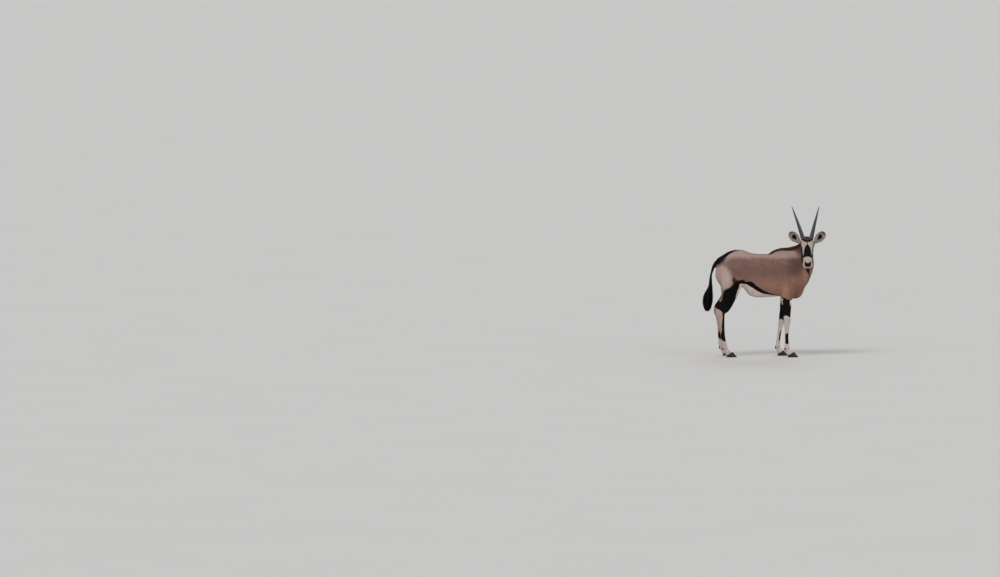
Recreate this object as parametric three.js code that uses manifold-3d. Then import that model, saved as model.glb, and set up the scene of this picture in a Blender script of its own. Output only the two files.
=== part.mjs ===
// A gemsbok standing side on, with its head turned to look over its right shoulder, at life size.
// Millimetres, +X towards the chest, +Y towards its left side, +Z up, floor at z = 0.
// The flesh is one smooth body made of named tubes and muscles. Each sub-part is skinned from that
// body along its own middle line and parted from its neighbours by thin flat cuts.
import * as THREE from "three";
import { mergeVertices } from "three/addons/utils/BufferGeometryUtils.js";
import Module from "manifold-3d";

const wasm = await Module();
wasm.setup();

// Driving dimensions
const GAP = 0.3;
const CLEAR = 0.4;
const FACE_SLOPE = THREE.MathUtils.degToRad(50);
const EYE_RADIUS = 18;
const EYE_PLACE = { along: 92, depth: 36, aside: 56 };
const HORN_LENGTH = 640;
const HORN_RADIUS = 22;
const HORN_RISE = THREE.MathUtils.degToRad(32.5);
const HORN_SPLAY = THREE.MathUtils.degToRad(10);
const HORN_PLACE = { along: 38, depth: 19, aside: 38 };
const HORN_TAPER = 0.8;
const HORN_TIP = 1.6;
const HORN_RINGS = 12;
const EAR_LENGTH = 182;
const EAR_WIDTH = 92;
const EAR_WALL = 4;
const EAR_PLACE = { along: 56, depth: 62, aside: 58 };
const HOOF_LENGTH = 114;
const HOOF_HEIGHT = 62;
const CLAW_WIDTH = 33;
const CLEFT = 4;
const DEWCLAW_RADII = [15, 9, 8];
const DEWCLAW_HEIGHT = 94;
const FORE_STANCE = 112;
const HIND_STANCE = 108;
const FAR_FORELEG_BACK = 104;
const FAR_HINDLEG_BACK = 33;

const vec = (x, y, z) => new THREE.Vector3(x, y, z);
const { lerp, clamp, degToRad } = THREE.MathUtils;

// The value of a smooth curve through evenly spaced values, at share t between b and c
function catmull(a, b, c, d, t) {
  const t2 = t * t;
  const t3 = t2 * t;
  return 0.5 * (2 * b + (c - a) * t + (2 * a - 5 * b + 4 * c - d) * t2 + (3 * b - a - 3 * c + d) * t3);
}

// A smooth lesser of two distances, which rounds the line where they meet over the width k
function smoothMin(a, b, k) {
  const h = Math.max(k - Math.abs(a - b), 0) / k;
  return Math.min(a, b) - h * h * k * 0.25;
}

// Distance to an oval's skin along the ray from its middle
function ovalDistance(u, v, s, wide, deep, long, power) {
  const r = Math.hypot(u, v, s);
  if (r < 1e-6) return -Math.min(wide, deep);
  const x = Math.abs(u / wide) ** power;
  const y = Math.abs(v / deep) ** power;
  const z = Math.abs(s / long) ** power;
  return r - r / (x + y + z) ** (1 / power);
}

// A tube of flesh through stations [x, y, z, half width, above, below, turn in degrees].
// "Above" is the side that the cross product of the run and the left side points to: the back of
// the trunk and neck, the front of a leg, the bridge of the nose.
const STEPS_PER_SPAN = 3;
class Tube {
  constructor(stations, { cap = 40, power = 2.1 } = {}) {
    this.cap = cap;
    this.power = power;
    const dense = [];
    stations.slice(0, -1).forEach((row, i) => {
      const before = stations[Math.max(i - 1, 0)];
      const next = stations[i + 1];
      const after = stations[Math.min(i + 2, stations.length - 1)];
      for (let j = 0; j < STEPS_PER_SPAN; j++)
        dense.push(row.map((v, k) => catmull(before[k], v, next[k], after[k], j / STEPS_PER_SPAN)));
    });
    dense.push(stations[stations.length - 1]);
    this.rings = dense.map(([x, y, z, wide, above, below, turn = 0], i) => {
      const next = dense[Math.min(i + 1, dense.length - 1)];
      const last = dense[Math.max(i - 1, 0)];
      const run = vec(next[0] - last[0], next[1] - last[1], next[2] - last[2]).normalize();
      const left = vec(-Math.sin(degToRad(turn)), Math.cos(degToRad(turn)), 0);
      left.addScaledVector(run, -left.dot(run)).normalize();
      return { at: vec(x, y, z), run, left, over: run.clone().cross(left), wide, above, below };
    });
    this.box = new THREE.Box3().setFromPoints(this.rings.map((r) => r.at));
    this.reach = Math.max(...this.rings.map((r) => Math.max(r.wide, r.above, r.below)));
  }

  // The ring at share t of the way from ring i to the next
  between(i, t) {
    const a = this.rings[i];
    const b = this.rings[i + 1];
    return {
      at: a.at.clone().lerp(b.at, t),
      run: a.run.clone().lerp(b.run, t).normalize(),
      left: a.left.clone().lerp(b.left, t).normalize(),
      over: a.over.clone().lerp(b.over, t).normalize(),
      wide: lerp(a.wide, b.wide, t),
      above: lerp(a.above, b.above, t),
      below: lerp(a.below, b.below, t),
    };
  }

  // The ring at share t of the whole run, counted in stations
  ringAt(t) {
    const f = clamp(t, 0, 1) * (this.rings.length - 1);
    const i = Math.min(Math.floor(f), this.rings.length - 2);
    return this.between(i, f - i);
  }

  distance(p) {
    const off = this.box.distanceToPoint(p);
    if (off > this.reach + 80) return off - this.reach;
    let best = Infinity;
    let at = 0;
    let share = 0;
    for (let i = 0; i + 1 < this.rings.length; i++) {
      const a = this.rings[i].at;
      const b = this.rings[i + 1].at;
      const ab = [b.x - a.x, b.y - a.y, b.z - a.z];
      const ap = [p.x - a.x, p.y - a.y, p.z - a.z];
      const length2 = ab[0] ** 2 + ab[1] ** 2 + ab[2] ** 2;
      const t = clamp((ap[0] * ab[0] + ap[1] * ab[1] + ap[2] * ab[2]) / length2, 0, 1);
      const d = (ap[0] - t * ab[0]) ** 2 + (ap[1] - t * ab[1]) ** 2 + (ap[2] - t * ab[2]) ** 2;
      if (d < best) {
        best = d;
        at = i;
        share = t;
      }
    }
    const ring = this.between(at, share);
    const offset = p.clone().sub(ring.at);
    const u = offset.dot(ring.left);
    const v = offset.dot(ring.over);
    const deep = v > 0 ? ring.above : ring.below;
    return ovalDistance(u, v, offset.dot(ring.run), ring.wide, deep, this.cap, this.power);
  }
}

// An oval muscle or bony knob, with its own axes given as unit vectors
class Oval {
  constructor(at, radii, axes) {
    this.at = at;
    this.radii = radii;
    this.axes = axes;
  }

  distance(p) {
    const q = p.clone().sub(this.at);
    return ovalDistance(...this.axes.map((axis) => q.dot(axis)), ...this.radii, 2);
  }
}

// Axes leaning forward from upright by an angle in degrees, seen from the side
function leaning(angle) {
  const a = degToRad(angle);
  return [vec(Math.cos(a), 0, -Math.sin(a)), vec(0, 1, 0), vec(Math.sin(a), 0, Math.cos(a))];
}

// Trunk, from the tail's root to the point of the chest
const TRUNK = new Tube(
  [
    [-484, 0, 916, 72, 142, 64],
    [-450, 0, 916, 116, 180, 126],
    [-400, 0, 912, 144, 222, 155],
    [-335, 0, 905, 160, 250, 160],
    [-267, 0, 896, 166, 259, 134],
    [-205, 0, 890, 172, 248, 152],
    [-150, 0, 886, 184, 233, 212],
    [-94, 0, 882, 194, 229, 238],
    [-7, 0, 880, 201, 227, 243],
    [67, 0, 878, 202, 230, 234],
    [129, 0, 876, 196, 252, 231],
    [191, 0, 872, 187, 272, 224],
    [266, 0, 865, 172, 276, 240],
    [335, 0, 850, 144, 250, 234],
    [388, 0, 830, 110, 200, 180],
    [432, 0, 812, 76, 140, 112],
  ],
  { cap: 28, power: 2.15 },
);

// Neck, from inside the shoulders to the back of the skull, bending to the right as it rises
const NECK = new Tube(
  [
    [250, 0, 905, 140, 240, 210, 0],
    [312, 0, 942, 124, 224, 218, 0],
    [372, -3, 990, 104, 190, 186, -4],
    [417, -17, 1048, 86, 156, 148, -18],
    [445, -42, 1108, 76, 128, 112, -42],
    [460, -74, 1163, 70, 106, 92, -70],
    [465, -108, 1204, 64, 92, 80, -90],
  ],
  { cap: 40, power: 2.1 },
);

// The head's own frame: along the face from the poll to the nose, depth towards the throat, and aside
const POLL = vec(465, -130, 1303);
const ALONG_FACE = vec(0, -Math.cos(FACE_SLOPE), -Math.sin(FACE_SLOPE));
const TO_THROAT = vec(0, Math.sin(FACE_SLOPE), -Math.cos(FACE_SLOPE));
const ASIDE = vec(1, 0, 0);
const HEAD_AXES = [ALONG_FACE, TO_THROAT, ASIDE];
const onHead = (along, depth, aside = 0) =>
  POLL.clone()
    .addScaledVector(ALONG_FACE, along)
    .addScaledVector(TO_THROAT, depth)
    .addScaledVector(ASIDE, aside);
const headOval = (along, depth, aside, radii) => new Oval(onHead(along, depth, aside), radii, HEAD_AXES);

// Stations along the face: [along, depth of the middle, half width, up to the bridge, down to the jaw]
const FACE = new Tube(
  [
    [4, 55, 46, 46, 62],
    [30, 50, 55, 51, 78],
    [60, 48, 61, 52, 92],
    [95, 48, 65, 50, 100],
    [132, 48, 64, 48, 94],
    [178, 48, 62, 48, 72],
    [230, 46, 56, 47, 54],
    [285, 44, 50, 44, 43],
    [325, 44, 50, 40, 38],
    [354, 45, 46, 33, 34],
  ].map(([along, depth, wide, above, below]) => {
    const { x, y, z } = onHead(along, depth);
    return [x, y, z, wide, above, below, -90];
  }),
  { cap: 24, power: 2.3 },
);
const HEAD_KNOBS = [1, -1].flatMap((side) => [
  { name: "cheek", shape: headOval(126, 90, side * 42, [62, 44, 20]), blend: 20 },
  { name: "brow", shape: headOval(88, 30, side * 54, [34, 23, 17]), blend: 14 },
  { name: "cheekbone", shape: headOval(140, 54, side * 46, [48, 13, 14]), blend: 18 },
  { name: "nostril wing", shape: headOval(356, 30, side * 28, [25, 19, 20]), blend: 12 },
  { name: "upper lip", shape: headOval(338, 54, side * 34, [38, 14, 19]), blend: 12 },
  { name: "lower lip", shape: headOval(344, 75, side * 15, [28, 9, 22]), blend: 10 },
  { name: "horn root", shape: headOval(40, 16, side * 36, [32, 22, 25]), blend: 14 },
  { name: "ear root", shape: headOval(54, 62, side * 56, [26, 24, 18]), blend: 14 },
]);

// Foreleg and hind leg of the right side: [x, out, z, half width, front, back]
const FORELEG = [
  [300, -4, 810, 56, 80, 84],
  [266, 8, 705, 54, 66, 70],
  [238, 12, 622, 44, 60, 50],
  [247, 10, 555, 37, 50, 48],
  [250, 8, 490, 31, 42, 41],
  [250, 6, 432, 30, 38, 37],
  [252, 4, 398, 32, 37, 35],
  [249, 3, 345, 27, 30, 29],
  [247, 1, 245, 20, 21, 20],
  [248, 0, 150, 20.5, 22, 21],
  [252, 0, 101, 26, 27, 28],
  [264, 0, 72, 25, 24, 26],
  [279, 0, 46, 33, 31, 29],
  [286, 0, 22, 34, 36, 30],
];
const HINDLEG = [
  [-335, -13, 960, 72, 112, 112],
  [-350, 6, 830, 74, 112, 116],
  [-362, 11, 715, 62, 98, 98],
  [-382, 11, 635, 49, 76, 74],
  [-422, 8, 560, 38, 74, 72],
  [-454, 4, 512, 33, 66, 68],
  [-465, 2, 470, 31, 48, 56],
  [-459, 2, 412, 26, 37, 34],
  [-450, 1, 320, 20, 28, 25],
  [-444, 0, 240, 19, 27, 23],
  [-432, 0, 160, 20, 27, 24],
  [-420, 0, 103, 26, 28, 28],
  [-406, 0, 74, 25, 25, 26],
  [-388, 0, 47, 33, 31, 29],
  [-380, 0, 22, 34, 36, 30],
];

// The far legs stand further back. They are swung back from the joint's height, more so near the floor.
const SWING_POWER = 1.2;
const FORE_SWING_HEIGHT = 650;
const HIND_SWING_HEIGHT = 700;
const swing = (z, back, height) => back * Math.max(1 - (z / height) ** SWING_POWER, 0);
const LEG_KINDS = {
  fore: { stations: FORELEG, stance: FORE_STANCE, back: FAR_FORELEG_BACK, height: FORE_SWING_HEIGHT },
  hind: { stations: HINDLEG, stance: HIND_STANCE, back: FAR_HINDLEG_BACK, height: HIND_SWING_HEIGHT },
};
const SIDES = { right: -1, left: 1 };
const LEGS = Object.entries(LEG_KINDS).flatMap(([kind, { stations, stance, back, height }]) =>
  Object.entries(SIDES).map(([sideName, side]) => {
    const shift = (z) => (side > 0 ? -swing(z, back, height) : 0);
    const rows = stations.map(([x, out, z, ...sizes]) => [x + shift(z), side * (stance + out), z, ...sizes]);
    const tube = new Tube(rows, { cap: 26, power: 2.05 });
    return { name: `${kind}_${sideName}`, kind, side, shift, stance, tube };
  }),
);

// Tail, and its tuft out to the tips
const TAIL = new Tube(
  [
    [-462, 0, 1036, 32, 32, 40],
    [-502, 0, 1012, 28, 28, 34],
    [-533, 0, 974, 23, 22, 26],
    [-554, 0, 925, 18, 18, 19],
    [-568, 0, 868, 15, 15, 15],
    [-571, 0, 809, 17, 19, 19],
    [-574, 0, 747, 23, 27, 28],
    [-588, 0, 690, 32, 44, 44],
    [-598, 0, 630, 38, 57, 57],
    [-604, 0, 575, 36, 54, 54],
    [-606, 0, 525, 28, 40, 40],
    [-612, 0, 484, 14, 19, 19],
  ],
  { cap: 20, power: 2 },
);
const TUFT_TOP = 800;
const TUFT_CORE = new Tube(
  [
    [-568, 0, 868, 15, 15, 15],
    [-571, 0, 809, 16, 17, 17],
    [-574, 0, 747, 17, 20, 20],
    [-588, 0, 690, 20, 26, 26],
    [-596, 0, 645, 15, 20, 20],
  ],
  { cap: 12, power: 2 },
);

// Mane along the crest from the withers to the horns, out to its tips, and its low solid core
const MANE_STATIONS = [
  [50, 0, 1092, 10, 22, 30, 0],
  [129, 0, 1118, 14, 38, 34, 0],
  [200, 0, 1137, 16, 40, 34, 0],
  [280, 0, 1147, 17, 40, 34, 0],
  [335, -2, 1161, 17, 40, 34, -4],
  [382, -12, 1182, 17, 38, 34, -14],
  [425, -42, 1222, 17, 34, 34, -45],
  [456, -84, 1262, 17, 30, 32, -75],
  [465, -118, 1286, 16, 24, 30, -90],
];
const MANE = new Tube(MANE_STATIONS, { cap: 14, power: 2 });
const MANE_CORE_SHARE = 0.45;
const MANE_CORE = new Tube(
  MANE_STATIONS.map(([x, y, z, wide, above, ...rest]) => [x, y, z, wide, above * MANE_CORE_SHARE, ...rest]),
  { cap: 14, power: 2 },
);

const muscle = (name, at, radii, lean, blend) => ({ name, shape: new Oval(at, radii, leaning(lean)), blend });
const TRUNK_MUSCLES = [1, -1].flatMap((side) => [
  muscle("shoulder blade", vec(262, side * 112, 955), [80, 44, 150], -14, 60),
  muscle("shoulder point", vec(350, side * 92, 800), [66, 50, 90], 10, 60),
  muscle("upper arm", vec(290, side * 118, 715), [70, 44, 80], 16, 50),
  muscle("haunch", vec(-350, side * 106, 975), [118, 52, 100], 10, 60),
  muscle("hip bone", vec(-235, side * 124, 1050), [40, 22, 28], 0, 50),
  muscle("buttock", vec(-402, side * 74, 858), [68, 54, 150], -17, 50),
  muscle("seat", vec(-455, side * 40, 850), [52, 40, 90], -15, 50),
  muscle("stifle", vec(-296, side * 130, 792), [46, 38, 58], -24, 36),
]);
const BRISKET = muscle("brisket", vec(338, 0, 716), [92, 76, 92], -25, 46);

// Signed distance to the skin of the whole body, negative inside
const MEETING = { neck: 70, legs: 34, head: 22 };
function headDistance(p) {
  let d = FACE.distance(p);
  for (const { shape, blend } of HEAD_KNOBS) d = smoothMin(d, shape.distance(p), blend);
  return d;
}
const HEAD_REACH = 12;
function bodyDistance(p) {
  let d = smoothMin(TRUNK.distance(p), NECK.distance(p), MEETING.neck);
  for (const { shape, blend } of [...TRUNK_MUSCLES, BRISKET]) d = smoothMin(d, shape.distance(p), blend);
  for (const { tube } of LEGS) d = smoothMin(d, tube.distance(p), MEETING.legs);
  return Math.max(smoothMin(d, headDistance(p), MEETING.head), d - HEAD_REACH);
}

// Repeatable random numbers from 0 to 1, mixed from a counter
function seeded(seed) {
  let state = seed;
  return () => {
    state = (state + 0x6d2b79f5) | 0;
    let mix = Math.imul(state ^ (state >>> 15), 1 | state);
    mix = (mix + Math.imul(mix ^ (mix >>> 7), 61 | mix)) ^ mix;
    return ((mix ^ (mix >>> 14)) >>> 0) / 4294967296;
  };
}

// Solids from geometry, and back

function solidOf(geometry) {
  const bare = new THREE.BufferGeometry();
  bare.setAttribute("position", geometry.getAttribute("position"));
  bare.setIndex(geometry.getIndex());
  const merged = mergeVertices(bare, 1e-3);
  const mesh = new wasm.Mesh({
    numProp: 3,
    vertProperties: new Float32Array(merged.attributes.position.array),
    triVerts: new Uint32Array(merged.index.array),
  });
  return new wasm.Manifold(mesh);
}

function geometryOf(solid) {
  const mesh = solid.getMesh();
  const geometry = new THREE.BufferGeometry();
  geometry.setAttribute("position", new THREE.BufferAttribute(new Float32Array(mesh.vertProperties), 3));
  geometry.setIndex(new THREE.BufferAttribute(new Uint32Array(mesh.triVerts), 1));
  geometry.computeVertexNormals();
  return geometry;
}

// The largest closed surface of a solid, which drops loose scraps and fills sealed hollows
const largest = (solid) => solid.decompose().reduce((a, b) => (b.volume() > a.volume() ? b : a));

const middleOf = (ring) => ring.reduce((a, p) => a.add(p), vec(0, 0, 0)).divideScalar(ring.length);

// A closed skin over rings of points, with a fan to one point at each end, turned to face outwards
function loft(rings, firstPoint, lastPoint) {
  const sides = rings[0].length;
  const points = [...rings.flat(), firstPoint, lastPoint];
  const first = points.length - 2;
  const last = points.length - 1;
  const index = [];
  for (let i = 0; i + 1 < rings.length; i++)
    for (let j = 0; j < sides; j++) {
      const a = i * sides + j;
      const b = i * sides + ((j + 1) % sides);
      index.push(a, b, b + sides, a, b + sides, a + sides);
    }
  const top = (rings.length - 1) * sides;
  for (let j = 0; j < sides; j++) {
    const k = (j + 1) % sides;
    index.push(first, k, j, last, top + j, top + k);
  }
  let volume = 0;
  for (let i = 0; i < index.length; i += 3) {
    const [a, b, c] = [points[index[i]], points[index[i + 1]], points[index[i + 2]]];
    volume += a.dot(b.clone().cross(c));
  }
  const geometry = new THREE.BufferGeometry().setFromPoints(points);
  geometry.setIndex(volume > 0 ? index : index.reverse());
  return solidOf(geometry);
}

// How far a ray from an inner point runs before it leaves the shape
const RAY_STEP = 5;
const RAY_LIMIT = 420;
const RAY_HALVINGS = 11;
function castRay(from, direction, distance) {
  const p = vec(0, 0, 0);
  const at = (s) => distance(p.copy(from).addScaledVector(direction, s));
  let low = 0;
  while (low < RAY_LIMIT && at(low + RAY_STEP) < 0) low += RAY_STEP;
  let high = low + RAY_STEP;
  for (let i = 0; i < RAY_HALVINGS; i++) {
    const middle = (low + high) / 2;
    if (at(middle) < 0) low = middle;
    else high = middle;
  }
  return (low + high) / 2;
}

// A flat cut. What lies behind the plane is kept, half a gap short of it.
const CUT_BLOCK = 4000;
class Cut {
  constructor(point, normal) {
    this.point = point;
    this.normal = normal.clone().normalize();
  }

  flipped() {
    return new Cut(this.point, this.normal.clone().negate());
  }

  distance(p) {
    return p.clone().sub(this.point).dot(this.normal);
  }

  block() {
    const at = this.point.clone().addScaledVector(this.normal, -(CUT_BLOCK + GAP) / 2);
    const turn = new THREE.Quaternion().setFromUnitVectors(vec(0, 0, 1), this.normal);
    const matrix = new THREE.Matrix4().compose(at, turn, vec(1, 1, 1));
    return solidOf(new THREE.BoxGeometry(CUT_BLOCK, CUT_BLOCK, CUT_BLOCK).applyMatrix4(matrix));
  }
}

// Skins a stretch of the body. Rays run past the cuts by a margin, and the cuts then trim them sharply.
// Rounded ends fan their rays out past the last ring.
const RAY_MARGIN = 26;
const FAN_ANGLES = [18, 36, 54, 72];
function skin(rings, sides, cuts, options = {}) {
  const { distance = bodyDistance, swell = 0, fans = [false, false], margin = RAY_MARGIN } = options;
  const bounded = (p) => Math.max(distance(p) - swell, ...cuts.map((cut) => cut.distance(p) - margin));
  const ringPoints = ({ at, left, over, run }, tilt = 0) =>
    Array.from({ length: sides }, (_, j) => {
      const angle = (2 * Math.PI * j) / sides;
      const direction = left.clone().multiplyScalar(Math.cos(angle)).addScaledVector(over, Math.sin(angle));
      direction.normalize().multiplyScalar(Math.cos(tilt)).addScaledVector(run, Math.sin(tilt)).normalize();
      return at.clone().addScaledVector(direction, castRay(at, direction, bounded));
    });
  const first = rings[0];
  const last = rings[rings.length - 1];
  const tilts = FAN_ANGLES.map(degToRad);
  const tip = (ring, way) => {
    const direction = ring.run.clone().multiplyScalar(way);
    return ring.at.clone().addScaledVector(direction, castRay(ring.at, direction, bounded));
  };
  const body = [
    ...(fans[0] ? [...tilts].reverse().map((tilt) => ringPoints(first, -tilt)) : []),
    ...rings.map((ring) => ringPoints(ring)),
    ...(fans[1] ? tilts.map((tilt) => ringPoints(last, tilt)) : []),
  ];
  let solid = loft(body, fans[0] ? tip(first, -1) : first.at, fans[1] ? tip(last, 1) : last.at);
  for (const cut of cuts) solid = solid.intersect(cut.block());
  return largest(solid);
}

// Rings evenly spaced over the part of a tube's run that lies between the cuts, and a little past them
const RUN_SAMPLES = 400;
function ringsWithin(tube, cuts, count, margin = RAY_MARGIN) {
  const shares = Array.from({ length: RUN_SAMPLES + 1 }, (_, i) => i / RUN_SAMPLES);
  const inside = shares.filter((share) => {
    const { at } = tube.ringAt(share);
    return cuts.every((cut) => cut.distance(at) < margin * 0.9);
  });
  const last = inside[inside.length - 1];
  return Array.from({ length: count }, (_, i) => tube.ringAt(lerp(inside[0], last, i / (count - 1))));
}
const skinTube = (tube, count, sides, cuts, options = {}) =>
  skin(ringsWithin(tube, cuts, count, options.margin), sides, cuts, options);

// Share of a leg's run at a height
function shareAtHeight(tube, z) {
  const i = tube.rings.findIndex((ring) => ring.at.z < z);
  const a = tube.rings[i - 1].at.z;
  const b = tube.rings[i].at.z;
  return (i - 1 + (a - z) / (a - b)) / (tube.rings.length - 1);
}

// Cuts between the sub-parts
const neckRing = NECK.ringAt(0.3);
const NECK_BASE = new Cut(neckRing.at, neckRing.run);
const SKULL_BACK = -108;
const SKULL_BASE = 1150;
const ELBOW_HEIGHT = 597;
const STIFLE_HEIGHT = 718;
const KNEE_HEIGHT = 372;
const HOCK_HEIGHT = 452;
const FETLOCK_HEIGHT = 128;
const UP = vec(0, 0, 1);
const CORONET = { heel: 4, heelHeight: 25, front: 66, frontHeight: 56 };

const parts = [];
const add = (name, solid, material) => parts.push({ name, solid, material });

const MATERIALS = {
  coat: { color: 0x8f7263, roughness: 0.85, metalness: 0 },
  darkCoat: { color: 0x1b1614, roughness: 0.8, metalness: 0 },
  paleCoat: { color: 0xcfc4ba, roughness: 0.85, metalness: 0 },
  horn: { color: 0x3c3b3c, roughness: 0.5, metalness: 0 },
  eye: { color: 0x120d0a, roughness: 0.1, metalness: 0 },
};

// A flat lock of hair along a line of points, tapering to the last one. "Out" is where its flat face turns.
function lockSolid(line, outs, wide, thick) {
  const last = line.length - 1;
  const rings = line.slice(0, last).map((at, i) => {
    const run = line[i + 1].clone().sub(line[Math.max(i - 1, 0)]).normalize();
    const out = outs[i].clone().addScaledVector(run, -outs[i].dot(run)).normalize();
    const across = run.clone().cross(out);
    const taper = 1 - 0.55 * (i / last) ** 2;
    const corner = (direction, size) => at.clone().addScaledVector(direction, (size / 2) * taper);
    return [corner(across, wide), corner(out, thick), corner(across, -wide), corner(out, -thick)];
  });
  return loft(rings, line[0], line[last]);
}

// Mane: blades of hair that stand on the crest and bend back, in two rows that take turns
const MANE_LOCK = { count: 24, wide: 40, thick: 9, sink: 8, back: 34, aside: 7, first: 0.03, last: 0.95 };
const LOCK_STEPS = [0, 0.35, 0.7, 1];
function maneLock(share, side, random) {
  const ring = MANE.ringAt(share);
  const height = ring.above * lerp(0.92, 1.04, random()) + MANE_LOCK.sink;
  const back = MANE_LOCK.back * lerp(0.8, 1.2, random());
  const aside = side * MANE_LOCK.aside * lerp(0.7, 1.1, random());
  const line = LOCK_STEPS.map((t) =>
    ring.at
      .clone()
      .addScaledVector(ring.over, height * Math.sin((t * Math.PI) / 2) - MANE_LOCK.sink)
      .addScaledVector(ring.run, -back * t ** 2)
      .addScaledVector(ring.left, aside * lerp(0.4, 1, t)),
  );
  const outs = LOCK_STEPS.map(() => ring.left.clone().multiplyScalar(side));
  return lockSolid(line, outs, MANE_LOCK.wide, MANE_LOCK.thick);
}
function buildMane() {
  const random = seeded(11);
  let hair = skinTube(MANE_CORE, 14, 8, [], { distance: (p) => MANE_CORE.distance(p), fans: [true, true] });
  for (let i = 0; i < MANE_LOCK.count; i++) {
    const share = lerp(MANE_LOCK.first, MANE_LOCK.last, i / (MANE_LOCK.count - 1));
    hair = hair.add(maneLock(share, i % 2 ? 1 : -1, random));
  }
  return hair;
}

// Torso. The ring planes stand upright, so that the flat leg cuts fall along them.
const upright = (x) => {
  const ring = TRUNK.rings.reduce((a, b) => (Math.abs(b.at.x - x) < Math.abs(a.at.x - x) ? b : a));
  return { at: vec(x, 0, ring.at.z), run: vec(1, 0, 0), left: vec(0, 1, 0), over: UP };
};
const TORSO_RINGS = 22;
const STIFLE_PLANE_FRONT = -222;
const TORSO_SPAN = { back: -465, front: 400 };
const torsoPlace = (i) => lerp(TORSO_SPAN.back, TORSO_SPAN.front, i / (TORSO_RINGS - 1));
const evenPlaces = Array.from({ length: TORSO_RINGS }, (_, i) => torsoPlace(i));
const torsoPlaces = [...evenPlaces, STIFLE_PLANE_FRONT - 2, STIFLE_PLANE_FRONT + 2].sort((a, b) => a - b);
const torsoRings = torsoPlaces.map(upright);
const LEG_TOPS = { fore: ELBOW_HEIGHT, hind: STIFLE_HEIGHT };
const STUB_HEIGHT = 80;
const STUB_TAPER = 0.22;
const LEG_SIDES = 14;
const NECK_MARGIN = 80;
const torsoBody = (p) => {
  const underLegs = p.x < STIFLE_PLANE_FRONT ? STIFLE_HEIGHT : ELBOW_HEIGHT;
  return Math.max(bodyDistance(p), underLegs - RAY_MARGIN - p.z);
};
const torsoSkin = (swell) =>
  skin(torsoRings, 28, [NECK_BASE], { distance: torsoBody, swell, fans: [true, true], margin: NECK_MARGIN });
const legCut = ({ tube, kind }) => new Cut(tube.ringAt(shareAtHeight(tube, LEG_TOPS[kind])).at, UP);
const legStub = (leg) => {
  const height = LEG_TOPS[leg.kind];
  const top = new Cut(vec(0, 0, height + STUB_HEIGHT), UP);
  const distance = (p) => bodyDistance(p) + STUB_TAPER * Math.max(p.z - height, 0);
  return skinTube(leg.tube, 4, LEG_SIDES, [top, legCut(leg).flipped()], { distance });
};
const hindBox = new THREE.BoxGeometry(600, 800, 400);
hindBox.translate(STIFLE_PLANE_FRONT - 300, 0, STIFLE_HEIGHT + GAP / 2 - 200);
const aboveElbow = new Cut(vec(0, 0, ELBOW_HEIGHT), vec(0, 0, -1)).block();
let torso = torsoSkin(0).subtract(solidOf(hindBox)).intersect(aboveElbow);
for (const leg of LEGS) torso = torso.add(legStub(leg));
torso = largest(torso);
const mane = buildMane();
const withMane = (solid, cuts) => {
  const ridge = cuts.reduce((rest, cut) => rest.intersect(cut.block()), mane);
  return largest(ridge.add(solid));
};
add("torso", withMane(torso, [NECK_BASE]), "coat");

// Neck
const skinHead = (swell) => skinTube(FACE, 20, 26, [], { distance: headDistance, swell, fans: [true, true] });
const swollenHead = skinHead(CLEAR);
const neckCuts = [NECK_BASE.flipped()];
const overSkull = (p) => Math.min(SKULL_BACK - p.y, p.z - SKULL_BASE);
const neckBody = (p) => Math.max(bodyDistance(p), overSkull(p) - RAY_MARGIN);
const neckLook = { distance: neckBody, margin: NECK_MARGIN, fans: [false, true] };
const neckSkin = skinTube(NECK, 16, 24, neckCuts, neckLook);
const skullBox = new THREE.BoxGeometry(400, 600, 400);
skullBox.translate(POLL.x, SKULL_BACK - 300, SKULL_BASE + 200);
const neck = withMane(neckSkin, neckCuts).subtract(solidOf(skullBox)).subtract(swollenHead);
add("neck", largest(neck), "coat");

// Tail, rooted in the rump and trimmed where it leaves it
const tailCut = new Cut(TAIL.ringAt(shareAtHeight(TAIL, TUFT_TOP)).at, vec(0, 0, -1));
const dock = skinTube(TAIL, 12, 11, [tailCut], { distance: (p) => TAIL.distance(p), fans: [true, false] });
add("tail", largest(dock.subtract(torsoSkin(CLEAR))), "darkCoat");

// Tail tuft: tiers of long locks that hang from the core, each tier under the one above
const TUFT_TIERS = [
  { from: 768, to: 600, count: 4, turn: 0 },
  { from: 722, to: 548, count: 4, turn: 0.5 },
  { from: 684, to: 486, count: 5, turn: 0 },
];
const TUFT_LOCK = { wide: 60, thick: 10, root: 0.42, hug: 0.9 };
function tuftLock(tier, i, random) {
  const angle = (2 * Math.PI * (i + tier.turn + 0.3 * random())) / tier.count;
  const to = tier.to + 36 * random();
  const rows = LOCK_STEPS.map((t) => {
    const ring = TAIL.ringAt(shareAtHeight(TAIL, lerp(tier.from, to, t)));
    const out = ring.left.clone().multiplyScalar(ring.wide * Math.cos(angle));
    out.addScaledVector(ring.over, ring.above * Math.sin(angle));
    const hug = lerp(TUFT_LOCK.root, TUFT_LOCK.hug, Math.sin(t * Math.PI * 0.5));
    return { at: ring.at.clone().addScaledVector(out, hug), out };
  });
  const line = rows.map(({ at }) => at);
  return lockSolid(line, rows.map(({ out }) => out), TUFT_LOCK.wide, TUFT_LOCK.thick);
}
function buildTuft() {
  const random = seeded(5);
  let hair = skinTube(TUFT_CORE, 8, 8, [], { distance: (p) => TUFT_CORE.distance(p), fans: [false, true] });
  for (const tier of TUFT_TIERS)
    for (let i = 0; i < tier.count; i++) hair = hair.add(tuftLock(tier, i, random));
  return largest(hair.intersect(tailCut.flipped().block()));
}
add("tail_tuft", buildTuft(), "darkCoat");

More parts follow.
